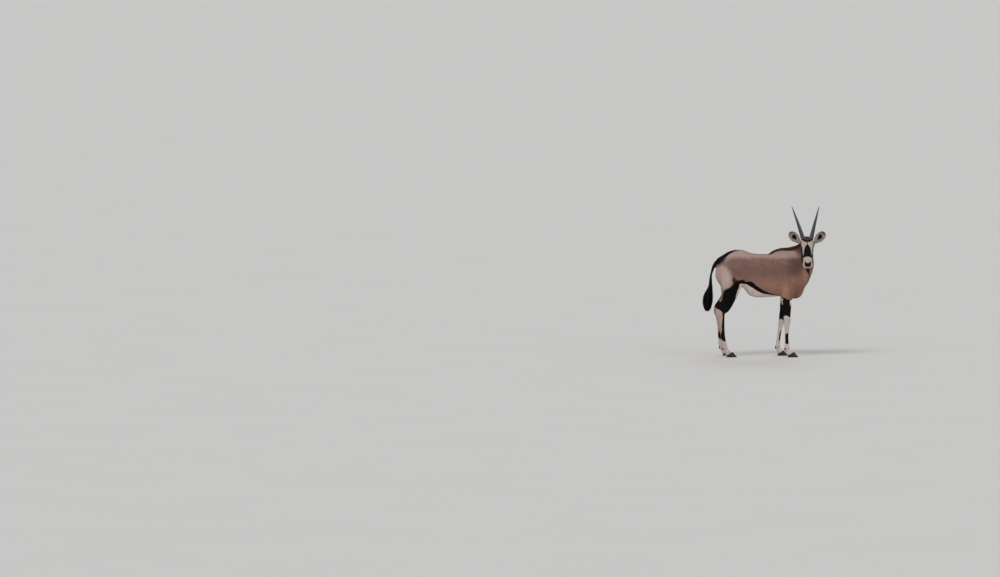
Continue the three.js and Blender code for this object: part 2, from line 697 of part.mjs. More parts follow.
// Horns: straight, splayed and swept back, ringed on their lower half
const hornStart = (side) => onHead(HORN_PLACE.along, HORN_PLACE.depth, side * HORN_PLACE.aside);
const hornRun = (side) =>
  vec(
    side * Math.sin(HORN_SPLAY),
    Math.cos(HORN_SPLAY) * Math.cos(HORN_RISE),
    Math.cos(HORN_SPLAY) * Math.sin(HORN_RISE),
  );
const HORN_SINK = 26;
const HORN_PLUG_RADIUS = 9;
const HORN_SAG = 10;
const HORN_SIDES = 9;
const RINGED_SHARE = 0.62;
function hornRadius(t) {
  const taper = HORN_RADIUS * (1 - t) ** HORN_TAPER + HORN_TIP;
  const ringed = clamp((RINGED_SHARE - t) / 0.1, 0, 1) * clamp(t / 0.02, 0, 1);
  const wave = 0.5 + 0.5 * Math.cos((2 * Math.PI * HORN_RINGS * t) / RINGED_SHARE);
  return taper + ringed * (1.6 - 2.2 * t) * (1 - 2 * wave);
}
function hornSolid(side, swell) {
  const run = hornRun(side);
  const across = vec(1, 0, 0).addScaledVector(run, -run.x).normalize();
  const over = run.clone().cross(across);
  const ring = (distance, radius) => {
    const t = Math.max(distance / HORN_LENGTH, 0);
    const centre = hornStart(side).addScaledVector(run, distance);
    centre.addScaledVector(over, -HORN_SAG * Math.sin(Math.PI * t));
    return Array.from({ length: HORN_SIDES }, (_, j) => {
      const angle = (2 * Math.PI * j) / HORN_SIDES;
      const offset = across.clone().multiplyScalar(Math.cos(angle)).addScaledVector(over, Math.sin(angle));
      return centre.clone().addScaledVector(offset, radius + swell);
    });
  };
  const waves = HORN_RINGS * 2;
  const ringed = Array.from({ length: waves + 1 }, (_, i) => (i / waves) * RINGED_SHARE);
  const smooth = Array.from({ length: 6 }, (_, i) => RINGED_SHARE + ((0.995 - RINGED_SHARE) * (i + 1)) / 6);
  const rings = [
    ring(-HORN_SINK, HORN_PLUG_RADIUS),
    ...[...ringed, ...smooth].map((t) => ring(t * HORN_LENGTH, hornRadius(t))),
  ];
  const end = (distance) => hornStart(side).addScaledVector(run, distance);
  return loft(rings, end(-HORN_SINK - swell), end(HORN_LENGTH));
}

// Ears: a leaf rolled into a cup that opens forward and out
const EAR_OUT = degToRad(44);
const EAR_ACROSS = 8;
const EAR_SHARES = [0, 0.12, 0.24, 0.38, 0.52, 0.66, 0.8, 0.9, 0.97];
function earFrame(side) {
  const base = onHead(EAR_PLACE.along, EAR_PLACE.depth, side * EAR_PLACE.aside);
  const run = vec(side * Math.cos(EAR_OUT), 0.1, Math.sin(EAR_OUT)).normalize();
  const face = vec(side * 0.12, -1, 0.12);
  face.addScaledVector(run, -face.dot(run)).normalize();
  return { base, run, face, across: face.clone().cross(run).multiplyScalar(side) };
}
function earHalfWidth(t) {
  const rise = THREE.MathUtils.smoothstep(t, 0.04, 0.58);
  const round = Math.sqrt(1 - (Math.max(t - 0.6, 0) / 0.4) ** 2.6);
  return (EAR_WIDTH / 2) * lerp(0.3, 1, rise) * round;
}
function earPoint(frame, t, u, inner) {
  const half = Math.max(earHalfWidth(t), 1.5);
  const roll = lerp(2.5, 1.25, clamp(t / 0.5, 0, 1));
  const radius = half / Math.sin(Math.min(roll, Math.PI / 2));
  const shell = inner ? radius - EAR_WALL * clamp((1 - t) * 6, 0.3, 1) : radius;
  const angle = u * roll;
  return frame.base
    .clone()
    .addScaledVector(frame.run, t * EAR_LENGTH)
    .addScaledVector(frame.across, shell * Math.sin(angle))
    .addScaledVector(frame.face, radius * 0.72 - shell * Math.cos(angle) * 0.9);
}
function earSolid(side) {
  const frame = earFrame(side);
  const rings = EAR_SHARES.map((t) => {
    const place = (j) => (2 * j) / (EAR_ACROSS - 1) - 1;
    const outer = Array.from({ length: EAR_ACROSS }, (_, j) => earPoint(frame, t, place(j), false));
    const inner = Array.from({ length: EAR_ACROSS - 2 }, (_, j) => earPoint(frame, t, -place(j + 1), true));
    return [...outer, ...inner];
  });
  return loft(rings, middleOf(rings[0]), middleOf(rings[rings.length - 1]).addScaledVector(frame.run, 2));
}

// Head, with sockets for the eyes and horns, lids, nostrils and the line of the mouth
const sphere = (at, radii, axes, detail = 12) => {
  const third = axes[0].clone().cross(axes[1]);
  const matrix = new THREE.Matrix4().makeBasis(axes[0], axes[1], third).setPosition(at);
  const shape = new THREE.SphereGeometry(1, detail, Math.round(detail * 0.7)).scale(...radii);
  return solidOf(shape.applyMatrix4(matrix));
};
const MOUTH = { along: 318, depth: 66, inset: 7, proud: 9, height: 2.4, corner: degToRad(112) };
function mouthGroove() {
  const centre = onHead(MOUTH.along, MOUTH.depth);
  const steps = 12;
  const rings = Array.from({ length: steps + 1 }, (_, i) => {
    const angle = lerp(-MOUTH.corner, MOUTH.corner, i / steps);
    const direction = ALONG_FACE.clone().multiplyScalar(Math.cos(angle));
    direction.addScaledVector(ASIDE, Math.sin(angle));
    const reach = castRay(centre, direction, headDistance);
    const inset = MOUTH.inset * (1 - 0.7 * Math.abs(angle / MOUTH.corner) ** 4);
    return [
      [reach - inset, 0],
      [reach + MOUTH.proud, MOUTH.height],
      [reach + MOUTH.proud, -MOUTH.height],
    ].map(([r, d]) => centre.clone().addScaledVector(direction, r).addScaledVector(TO_THROAT, d));
  });
  return loft(rings, middleOf(rings[0]), middleOf(rings[steps]));
}
const eyeAt = (side) => onHead(EYE_PLACE.along, EYE_PLACE.depth, side * EYE_PLACE.aside);
const LID_THICKNESS = 3.4;
function buildHead() {
  let head = skinHead(0);
  for (const side of [1, -1]) {
    const out = ASIDE.clone().multiplyScalar(side);
    const lid = EYE_RADIUS + LID_THICKNESS;
    head = head.add(sphere(eyeAt(side), [lid * 1.12, lid * 0.94, lid], HEAD_AXES, 12));
    const slit = eyeAt(side).addScaledVector(out, EYE_RADIUS + 4);
    head = head.subtract(sphere(slit, [16.5, 9.5, 14], HEAD_AXES, 12));
    head = head.subtract(sphere(eyeAt(side), Array(3).fill(EYE_RADIUS + GAP), HEAD_AXES, 12));
    head = head.subtract(hornSolid(side, GAP));
    const slant = ALONG_FACE.clone().addScaledVector(out, 0.75).normalize();
    const flare = out.clone().addScaledVector(slant, -out.dot(slant)).normalize();
    const axes = [slant, TO_THROAT, flare];
    head = head.subtract(sphere(onHead(373, 28, side * 25), [15, 6.5, 8], axes, 8));
  }
  return largest(head.subtract(mouthGroove()));
}
add("head", buildHead(), "coat");

// The head faces -Y, so its right side lies towards -X
for (const [sideName, side] of Object.entries(SIDES)) {
  add(`eye_${sideName}`, sphere(eyeAt(side), Array(3).fill(EYE_RADIUS), HEAD_AXES, 12), "eye");
  add(`horn_${sideName}`, hornSolid(side, 0), "horn");
  add(`ear_${sideName}`, largest(earSolid(side).subtract(swollenHead)), "paleCoat");
}

// Hooves: two claws to a foot, flat below, cut off above along the slanting coronet
const CLAW_SIDES = 12;
const CLAW_LEVELS = [0, 6, 34, HOOF_HEIGHT + 6];
const CLAW_DRAW = { length: 0.46, width: 0.06 };
const SOLE_SHARE = { length: 0.975, width: 0.95 };
const HEELS = { fore: 262, hind: -400 };
function clawSolid(heel, middle, inward) {
  const rings = CLAW_LEVELS.map((z) => {
    const rise = z / HOOF_HEIGHT;
    const length = HOOF_LENGTH * (1 - CLAW_DRAW.length * rise) * (z === 0 ? SOLE_SHARE.length : 1);
    const half = (CLAW_WIDTH / 2) * (1 - CLAW_DRAW.width * rise) * (z === 0 ? SOLE_SHARE.width : 1);
    return Array.from({ length: CLAW_SIDES }, (_, j) => {
      const angle = (2 * Math.PI * j) / CLAW_SIDES;
      const forward = Math.cos(angle);
      const toe = Math.max(forward, 0);
      const round = Math.abs(Math.sin(angle)) ** 0.8 * Math.sign(Math.sin(angle));
      const narrow = 1 - 0.3 * toe ** 2;
      const bend = inward * 5 * toe ** 2;
      return vec(heel + (length / 2) * (1 + forward), middle + half * round * narrow + bend, z);
    });
  });
  const at = (z) => vec(heel + HOOF_LENGTH / 3, middle, z);
  return loft(rings, at(0), at(CLAW_LEVELS[CLAW_LEVELS.length - 1]));
}

for (const leg of LEGS) {
  const { tube, name, kind, side, shift, stance } = leg;
  const bend = kind === "fore" ? KNEE_HEIGHT : HOCK_HEIGHT;
  const [upperName, lean] = kind === "fore" ? ["forearm", 0] : ["thigh", 0.3];
  const top = legCut(leg);
  const middle = new Cut(tube.ringAt(shareAtHeight(tube, bend)).at, vec(-lean, 0, 1));
  const ankle = new Cut(tube.ringAt(shareAtHeight(tube, FETLOCK_HEIGHT)).at, UP);
  const heel = HEELS[kind] + shift(0);
  const coronetRun = vec(CORONET.front - CORONET.heel, 0, CORONET.frontHeight - CORONET.heelHeight);
  const coronetHeel = vec(heel + CORONET.heel, 0, CORONET.heelHeight);
  const coronet = new Cut(coronetHeel, vec(-coronetRun.z, 0, coronetRun.x));
  add(`${name}_${upperName}`, skinTube(tube, 10, LEG_SIDES, [top, middle.flipped()]), "darkCoat");
  add(`${name}_cannon`, skinTube(tube, 8, 10, [middle, ankle.flipped()]), "paleCoat");

  const footSkin = (swell) => skinTube(tube, 7, 12, [ankle, coronet.flipped()], { swell });
  add(`${name}_pastern`, footSkin(0), "paleCoat");
  const swollenFoot = footSkin(CLEAR);
  for (const [clawName, way] of [["outer", 1], ["inner", -1]]) {
    const out = side * way;
    const claw = clawSolid(heel, side * stance + (out * (CLAW_WIDTH + CLEFT)) / 2, -out);
    add(`${name}_claw_${clawName}`, largest(claw.intersect(coronet.block())), "horn");
    const knob = tube.ringAt(shareAtHeight(tube, DEWCLAW_HEIGHT));
    const at = knob.at.clone().addScaledVector(vec(-1, out * 0.55, -0.2).normalize(), knob.below * 0.98);
    const axes = [vec(-0.5, out * 0.2, -0.84).normalize()];
    axes.push(vec(0, 1, 0).addScaledVector(axes[0], -axes[0].y).normalize());
    axes.push(axes[0].clone().cross(axes[1]));
    const dewclaw = sphere(at, DEWCLAW_RADII, axes, 6);
    add(`${name}_dewclaw_${clawName}`, largest(dewclaw.subtract(swollenFoot)), "horn");
  }
}

// The scene graph, set so that the middle of its floor plan is the origin
const group = new THREE.Group();
for (const { name, solid, material } of parts) {
  const mesh = new THREE.Mesh(geometryOf(solid), new THREE.MeshStandardMaterial(MATERIALS[material]));
  mesh.name = name;
  group.add(mesh);
}
const bounds = new THREE.Box3().setFromObject(group);
const middle = bounds.getCenter(vec(0, 0, 0));
group.position.set(-middle.x, -middle.y, -bounds.min.z);
group.updateMatrixWorld(true);

export default group;
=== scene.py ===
"""A gemsbok standing side on, its head turned to look over its right shoulder, as a life-size model.

The body is one smooth field of named tubes and muscles, in millimetres. The skin is a net drawn over that
field, and every tuft, lock and marking takes its place from it, so they all fit one another.
"""

import logging
import math
from dataclasses import dataclass, field
from enum import Enum
from typing import Callable, Sequence

import bpy
import numpy as np
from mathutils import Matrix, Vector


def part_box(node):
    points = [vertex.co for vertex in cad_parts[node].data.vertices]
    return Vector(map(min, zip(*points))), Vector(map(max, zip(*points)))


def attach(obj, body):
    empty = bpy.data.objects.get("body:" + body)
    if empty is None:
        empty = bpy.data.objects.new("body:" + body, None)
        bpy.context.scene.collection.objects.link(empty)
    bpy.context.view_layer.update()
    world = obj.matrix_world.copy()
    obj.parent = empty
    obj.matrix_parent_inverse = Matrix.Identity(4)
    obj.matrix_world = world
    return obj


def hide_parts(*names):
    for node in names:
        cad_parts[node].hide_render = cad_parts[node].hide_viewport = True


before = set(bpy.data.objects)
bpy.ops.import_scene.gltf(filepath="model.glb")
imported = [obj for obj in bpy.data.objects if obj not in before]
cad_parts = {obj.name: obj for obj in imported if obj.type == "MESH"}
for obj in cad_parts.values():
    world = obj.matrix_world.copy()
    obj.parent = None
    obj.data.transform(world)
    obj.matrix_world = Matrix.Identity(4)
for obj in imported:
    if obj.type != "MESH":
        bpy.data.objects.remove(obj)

Array = np.ndarray
log = logging.getLogger("gemsbok")

MM = 0.001
PHOTO_WIDTH = 1000
PHOTO_HEIGHT = 577
MM_PER_PIXEL = 10.8


# Small sums on whole arrays

def vec(*values: float) -> Array:
    """The values as one float array."""
    return np.array(values, float)


def unit(v: Array) -> Array:
    """The vectors at length one."""
    return v / np.maximum(np.linalg.norm(v, axis=-1, keepdims=True), 1e-9)


def mix(a: Array, b: Array, share: Array) -> Array:
    """The value at a share of the way from a to b."""
    return a + (b - a) * share


def ease(x: Array, low: float, high: float) -> Array:
    """A smooth climb from 0 at low to 1 at high, 3t² - 2t³."""
    t = np.clip((x - low) / (high - low), 0, 1)
    return t * t * (3 - 2 * t)


def smooth_min(a: Array, b: Array, k: float) -> Array:
    """The lesser of two distances, rounded where they meet over the width k."""
    h = np.maximum(k - np.abs(a - b), 0) / k
    return np.minimum(a, b) - h * h * k * 0.25


def smooth_max(a: Array, b: Array, k: float) -> Array:
    """The greater of two distances, rounded where they meet over the width k."""
    return -smooth_min(-a, -b, k)


def oval_distance(local: Array, radii: Array, power: float) -> Array:
    """Distance to an oval's skin along the ray from its middle: r - r / (sum of |x / radius|^p)^(1/p)."""
    r = np.linalg.norm(local, axis=1)
    total = (np.abs(local / radii) ** power).sum(1) ** (1 / power)
    return np.where(r < 1e-6, -np.min(radii), r - r / np.maximum(total, 1e-9))


def line_distance(p: Array, line: Sequence[Sequence[float]]) -> Array:
    """Signed distance to a ribbon drawn along a line.

    Args:
        p: Points, in as many dimensions as the line.
        line: Its points, each with the half width there as a last number.

    Returns:
        The distance to the nearest stretch, less its half width.
    """
    rows = np.array(line, float)
    best = np.full(len(p), np.inf)
    for a, b in zip(rows[:-1], rows[1:]):
        run = b[:-1] - a[:-1]
        t = np.clip((p - a[:-1]) @ run / (run @ run), 0, 1)
        away = np.linalg.norm(p - a[:-1] - t[:, None] * run, axis=1)
        best = np.minimum(best, away - mix(a[-1], b[-1], t))
    return best


def along_curve(x: Array, points: Sequence[tuple[float, float]]) -> Array:
    """The height of a line through points (x, height), level past its ends."""
    xs, heights = zip(*sorted(points))
    return np.interp(x, xs, heights)


# The body's field

class Tube:
    """Flesh round a middle line, with a half width and a reach above and below at each station."""

    def __init__(self, stations: Sequence[Sequence[float]], cap: float = 40, power: float = 2.1,
                 steps: int = 5) -> None:
        """Draws a smooth line through the stations.

        Args:
            stations: Rows of x, y, z, half width, above, below and turn in degrees.
            cap: How far the rounded ends reach.
            power: How square the section is.
            steps: How many pieces the line has between two stations.
        """
        self.cap, self.power = cap, power
        rows = np.array([tuple(row) + (0.0,) * (7 - len(row)) for row in stations], float)
        padded = np.vstack([rows[:1], rows, rows[-1:]])
        a, b, c, d = padded[:-3], padded[1:-2], padded[2:-1], padded[3:]
        dense = [
            0.5 * (2 * b + (c - a) * t + (2 * a - 5 * b + 4 * c - d) * t**2 + (3 * b - a - 3 * c + d) * t**3)
            for t in np.arange(steps) / steps
        ]
        dense = np.vstack([np.stack(dense, 1).reshape(-1, 7), rows[-1:]])
        self.at, self.sizes = dense[:, :3], dense[:, 3:6]
        ahead = np.vstack([self.at[1:], self.at[-1:]])
        behind = np.vstack([self.at[:1], self.at[:-1]])
        self.run = unit(ahead - behind)
        turn = np.radians(dense[:, 6])
        left = np.stack([-np.sin(turn), np.cos(turn), np.zeros_like(turn)], 1)
        self.left = unit(left - (left * self.run).sum(1, keepdims=True) * self.run)
        self.over = np.cross(self.run, self.left)
        self.low, self.high = self.at.min(0), self.at.max(0)
        self.reach = self.sizes.max()

    def locate(self, p: Array) -> tuple[Array, Array]:
        """The nearest stretch of the line to each point, and the share of the way along it."""
        best = np.full(len(p), np.inf)
        index = np.zeros(len(p), int)
        share = np.zeros(len(p))
        for i, (a, b) in enumerate(zip(self.at[:-1], self.at[1:])):
            run = b - a
            t = np.clip((p - a) @ run / (run @ run), 0, 1)
            away = p - a - t[:, None] * run
            gap = np.einsum("ij,ij->i", away, away)
            nearer = gap < best
            best = np.where(nearer, gap, best)
            index = np.where(nearer, i, index)
            share = np.where(nearer, t, share)
        return index, share

    def between(self, values: Array, index: Array, share: Array) -> Array:
        """Values of the line's points, read between them."""
        return mix(values[index], values[index + 1], share[:, None])

    def local(self, p: Array) -> dict[str, Array]:
        """Each point as seen from the line.

        Returns:
            Its place to the left, above and along, the sizes there, and its place on the whole run,
            from 0 to 1.
        """
        index, share = self.locate(p)
        offset = p - self.between(self.at, index, share)
        axes = [unit(self.between(v, index, share)) for v in (self.left, self.over, self.run)]
        left, over, along = (np.einsum("ij,ij->i", offset, axis) for axis in axes)
        sizes = self.between(self.sizes, index, share)
        return {"left": left, "over": over, "along": along, "sizes": sizes,
                "share": (index + share) / (len(self.at) - 1), "run": axes[2], "side": axes[0], "up": axes[1]}

    def distance(self, p: Array) -> Array:
        """Signed distance to the tube's skin, and a rough one far away."""
        off = np.linalg.norm(np.maximum(np.maximum(self.low - p, p - self.high), 0), axis=1)
        result = off - self.reach
        near = off <= self.reach + 80
        if near.any():
            seen = self.local(p[near])
            deep = np.where(seen["over"] > 0, seen["sizes"][:, 1], seen["sizes"][:, 2])
            radii = np.stack([seen["sizes"][:, 0], deep, np.full(len(deep), self.cap)], 1)
            beyond = np.where((seen["share"] <= 0) | (seen["share"] >= 1), seen["along"], 0)
            point = np.stack([seen["left"], seen["over"], beyond], 1)
            result[near] = oval_distance(point, radii, self.power)
        return result

    def ring(self, share: Array) -> dict[str, Array]:
        """The line's point, axes and sizes at shares of the whole run."""
        f = np.clip(share, 0, 1) * (len(self.at) - 1)
        i = np.minimum(f.astype(int), len(self.at) - 2)
        t = f - i
        return {"at": self.between(self.at, i, t), "run": unit(self.between(self.run, i, t)),
                "left": unit(self.between(self.left, i, t)), "over": unit(self.between(self.over, i, t)),
                "sizes": self.between(self.sizes, i, t)}


@dataclass(frozen=True)
class Oval:
    """An oval muscle or bony knob, smoothed into what it sits on over its blend."""

    at: Array
    radii: tuple[float, float, float]
    axes: Array = field(default_factory=lambda: np.eye(3))
    blend: float = 20

    def distance(self, p: Array) -> Array:
        """Signed distance to the oval's skin."""
        return oval_distance((p - self.at) @ self.axes.T, np.array(self.radii), 2)


def leaning(angle: float) -> Array:
    """Axes that lean forward from upright by an angle in degrees, seen from the side."""
    a = math.radians(angle)
    return np.array([[math.cos(a), 0, -math.sin(a)], [0, 1, 0], [math.sin(a), 0, math.cos(a)]])


FACE_SLOPE = math.radians(50)
POLL = vec(465, -130, 1303)
ALONG_FACE = vec(0, -math.cos(FACE_SLOPE), -math.sin(FACE_SLOPE))
TO_THROAT = vec(0, math.sin(FACE_SLOPE), -math.cos(FACE_SLOPE))
ASIDE = vec(1, 0, 0)
HEAD_AXES = np.array([ALONG_FACE, TO_THROAT, ASIDE])
BOTH_SIDES = (-1, 1)


def on_head(along: float, depth: float, aside: float = 0) -> Array:
    """A point from the head's own frame: along the face, towards the throat, and aside."""
    return POLL + vec(along, depth, aside) @ HEAD_AXES


def eye_middle(side: int) -> Array:
    """The middle of the eye on one side."""
    return on_head(EYE_PLACE[0], EYE_PLACE[1], side * EYE_PLACE[2])


def to_head(p: Array) -> tuple[Array, Array, Array]:
    """Along, depth and aside of points in the head's own frame."""
    along, depth, aside = ((p - POLL) @ HEAD_AXES.T).T
    return along, depth, aside


class Region(Enum):
    """The parts of the body that have a lie of the coat of their own."""

    TRUNK = 0
    NECK = 1
    HEAD = 2
    FORE_RIGHT = 3
    FORE_LEFT = 4
    HIND_RIGHT = 5
    HIND_LEFT = 6
    TAIL = 7


EYE_RADIUS = 18.0
EYE_PLACE = (92, 36, 56)
HORN_LENGTH = 640.0
HORN_RADIUS = 22.0
HORN_RISE = math.radians(32.5)
HORN_SPLAY = math.radians(10)
HORN_PLACE = (38, 19, 38)
HORN_SAG = 10.0
RINGED_SHARE = 0.62
EAR_LENGTH = 182.0
EAR_WIDTH = 92.0
EAR_PLACE = (56, 62, 58)
EAR_OUT = math.radians(44)
HOOF_LENGTH = 114.0
HOOF_HEIGHT = 62.0
CLAW_WIDTH = 33.0
CLEFT = 4.0
DEWCLAW_HEIGHT = 94.0
FORE_STANCE = 112.0
HIND_STANCE = 108.0
FAR_FORELEG_BACK = 104.0
FAR_HINDLEG_BACK = 33.0
SWING_POWER = 1.2

TRUNK = Tube([
    (-484, 0, 916, 72, 142, 64), (-450, 0, 916, 116, 180, 126), (-400, 0, 912, 144, 222, 155),
    (-335, 0, 905, 160, 250, 160), (-267, 0, 896, 166, 259, 134), (-205, 0, 890, 172, 248, 152),
    (-150, 0, 886, 184, 233, 212), (-94, 0, 882, 194, 229, 238), (-7, 0, 880, 201, 227, 243),
    (67, 0, 878, 202, 230, 234), (129, 0, 876, 196, 252, 231), (191, 0, 872, 187, 272, 224),
    (266, 0, 865, 172, 276, 240), (335, 0, 850, 144, 250, 234), (388, 0, 830, 110, 200, 180),
    (432, 0, 812, 76, 140, 112),
], cap=28, power=2.15)
NECK = Tube([
    (250, 0, 905, 140, 240, 210, 0), (312, 0, 942, 124, 224, 218, 0), (372, -3, 990, 104, 190, 186, -4),
    (417, -17, 1048, 86, 156, 148, -18), (445, -42, 1108, 76, 128, 112, -42),
    (460, -74, 1163, 70, 106, 92, -70), (465, -108, 1204, 64, 92, 80, -90),
], cap=40, power=2.1, steps=16)
FACE = Tube([
    (*on_head(along, depth), wide, above, below, -90)
    for along, depth, wide, above, below in [
        (4, 55, 46, 46, 62), (30, 50, 55, 51, 78), (60, 48, 61, 52, 92), (95, 48, 65, 50, 100),
        (132, 48, 64, 48, 94), (178, 48, 62, 48, 72), (230, 46, 56, 47, 54), (285, 44, 50, 44, 43),
        (325, 44, 50, 40, 38), (354, 45, 46, 33, 34),
    ]
], cap=24, power=2.3)
TAIL = Tube([
    (-462, 0, 1036, 32, 32, 40), (-502, 0, 1012, 28, 28, 34), (-533, 0, 974, 23, 22, 26),
    (-554, 0, 925, 18, 18, 19), (-568, 0, 868, 15, 15, 15), (-571, 0, 809, 17, 19, 19),
    (-574, 0, 747, 23, 27, 28), (-588, 0, 690, 32, 44, 44), (-598, 0, 630, 38, 57, 57),
    (-604, 0, 575, 36, 54, 54), (-606, 0, 525, 28, 40, 40), (-612, 0, 484, 14, 19, 19),
], cap=20, power=2)
DOCK = Tube([
    (-462, 0, 1036, 30, 30, 36), (-502, 0, 1012, 24, 24, 29), (-533, 0, 974, 18, 18, 21),
    (-554, 0, 925, 14, 14, 14), (-568, 0, 868, 11, 11, 11), (-571, 0, 809, 11, 11, 11),
    (-574, 0, 747, 11, 12, 12), (-588, 0, 690, 10, 12, 12), (-596, 0, 645, 6, 8, 8),
], cap=12, power=2)
MANE = Tube([
    (50, 0, 1092, 10, 22, 30, 0), (129, 0, 1118, 14, 38, 34, 0), (200, 0, 1137, 16, 40, 34, 0),
    (280, 0, 1147, 17, 40, 34, 0), (335, -2, 1161, 17, 40, 34, -4), (382, -12, 1182, 17, 38, 34, -14),
    (425, -42, 1222, 17, 34, 34, -45), (456, -84, 1262, 17, 30, 32, -75), (465, -118, 1286, 16, 24, 30, -90),
], cap=14, power=2)
FORELEG = [
    (300, -4, 810, 56, 80, 84), (266, 8, 705, 54, 66, 70), (238, 12, 622, 44, 60, 50),
    (247, 10, 555, 37, 50, 48), (250, 8, 490, 31, 42, 41), (250, 6, 432, 30, 38, 37),
    (252, 4, 398, 32, 37, 35), (249, 3, 345, 27, 30, 29), (247, 1, 245, 20, 21, 20),
    (248, 0, 150, 20.5, 22, 21), (252, 0, 101, 26, 27, 28), (264, 0, 72, 25, 24, 26),
    (279, 0, 46, 33, 31, 29), (286, 0, 22, 34, 36, 30),
]
HINDLEG = [
    (-335, -13, 960, 72, 112, 112), (-350, 6, 830, 74, 112, 116), (-362, 11, 715, 62, 98, 98),
    (-382, 11, 635, 49, 76, 74), (-422, 8, 560, 38, 74, 72), (-454, 4, 512, 33, 66, 68),
    (-465, 2, 470, 31, 48, 56), (-459, 2, 412, 26, 37, 34), (-450, 1, 320, 20, 28, 25),
    (-444, 0, 240, 19, 27, 23), (-432, 0, 160, 20, 27, 24), (-420, 0, 103, 26, 28, 28),
    (-406, 0, 74, 25, 25, 26), (-388, 0, 47, 33, 31, 29), (-380, 0, 22, 34, 36, 30),
]


class Leg:
    """One leg, with its swing back on the far side, its heel and the slanting top of its hooves."""

    def __init__(self, region: Region, fore: bool, side: int) -> None:
        """Places the leg's stations.

        Args:
            region: Its part of the body.
            fore: Whether it is a foreleg.
            side: -1 for the right, 1 for the left.
        """
        self.region, self.fore, self.side = region, fore, side
        self.stance = FORE_STANCE if fore else HIND_STANCE
        self.height = 650 if fore else 700
        self.back = (FAR_FORELEG_BACK if fore else FAR_HINDLEG_BACK) if side > 0 else 0
        stations = FORELEG if fore else HINDLEG
        self.tube = Tube(
            [(x - float(self.swing(vec(z))[0]), side * (self.stance + out), z, *sizes)
             for x, out, z, *sizes in stations], cap=26, power=2.05)
        self.heel = (262 if fore else -400) - float(self.swing(vec(0.0))[0])
        self.name = f"{'fore' if fore else 'hind'}_{'right' if side < 0 else 'left'}"

    def swing(self, z: Array) -> Array:
        """How far back the leg stands at heights: back (1 - (z / height)^power), not below nothing."""
        return self.back * np.maximum(1 - (np.maximum(z, 0) / self.height) ** SWING_POWER, 0)

    def coronet(self, p: Array) -> Array:
        """Signed height over the slanting top of the hooves."""
        run = vec(62, 31)
        normal = vec(-run[1], run[0]) / np.linalg.norm(run)
        return (p[:, [0, 2]] - vec(self.heel + 4, 25)) @ normal

    def nodes(self) -> list[str]:
        """The fixed solids of its flesh."""
        upper = "forearm" if self.fore else "thigh"
        return [f"{self.name}_{part}" for part in (upper, "cannon", "pastern")]


LEGS = [
    Leg(Region.FORE_RIGHT, True, -1), Leg(Region.FORE_LEFT, True, 1),
    Leg(Region.HIND_RIGHT, False, -1), Leg(Region.HIND_LEFT, False, 1),
]
TUBES = [TRUNK, NECK, FACE, *(leg.tube for leg in LEGS), DOCK]


def head_oval(
    along: float, depth: float, aside: float, radii: tuple[float, float, float], blend: float
) -> Oval:
    """A knob placed in the head's own frame."""
    return Oval(on_head(along, depth, aside), radii, HEAD_AXES, blend)


HEAD_KNOBS = [
    knob for side in BOTH_SIDES for knob in (
        head_oval(126, 90, side * 42, (62, 44, 20), 20),
        head_oval(88, 30, side * 54, (34, 23, 17), 14),
        head_oval(140, 54, side * 46, (48, 13, 14), 18),
        head_oval(356, 30, side * 28, (25, 19, 20), 12),
        head_oval(338, 54, side * 34, (38, 14, 19), 12),
        head_oval(344, 75, side * 15, (28, 9, 22), 10),
        head_oval(40, 16, side * 36, (32, 22, 25), 14),
        head_oval(54, 62, side * 56, (26, 24, 18), 14),
    )
]
TRUNK_MUSCLES = [
    muscle for side in BOTH_SIDES for muscle in (
        Oval(vec(262, side * 112, 955), (80, 44, 150), leaning(-14), 60),
        Oval(vec(350, side * 92, 800), (66, 50, 90), leaning(10), 60),
        Oval(vec(290, side * 118, 715), (70, 44, 80), leaning(16), 50),
        Oval(vec(-350, side * 106, 975), (118, 52, 100), leaning(10), 60),
        Oval(vec(-235, side * 124, 1050), (40, 22, 28), np.eye(3), 50),
        Oval(vec(-402, side * 74, 858), (68, 54, 150), leaning(-17), 50),
        Oval(vec(-455, side * 40, 850), (52, 40, 90), leaning(-15), 50),
        Oval(vec(-296, side * 130, 792), (46, 38, 58), leaning(-24), 36),
    )
] + [Oval(vec(338, 0, 716), (92, 76, 92), leaning(-25), 46)]


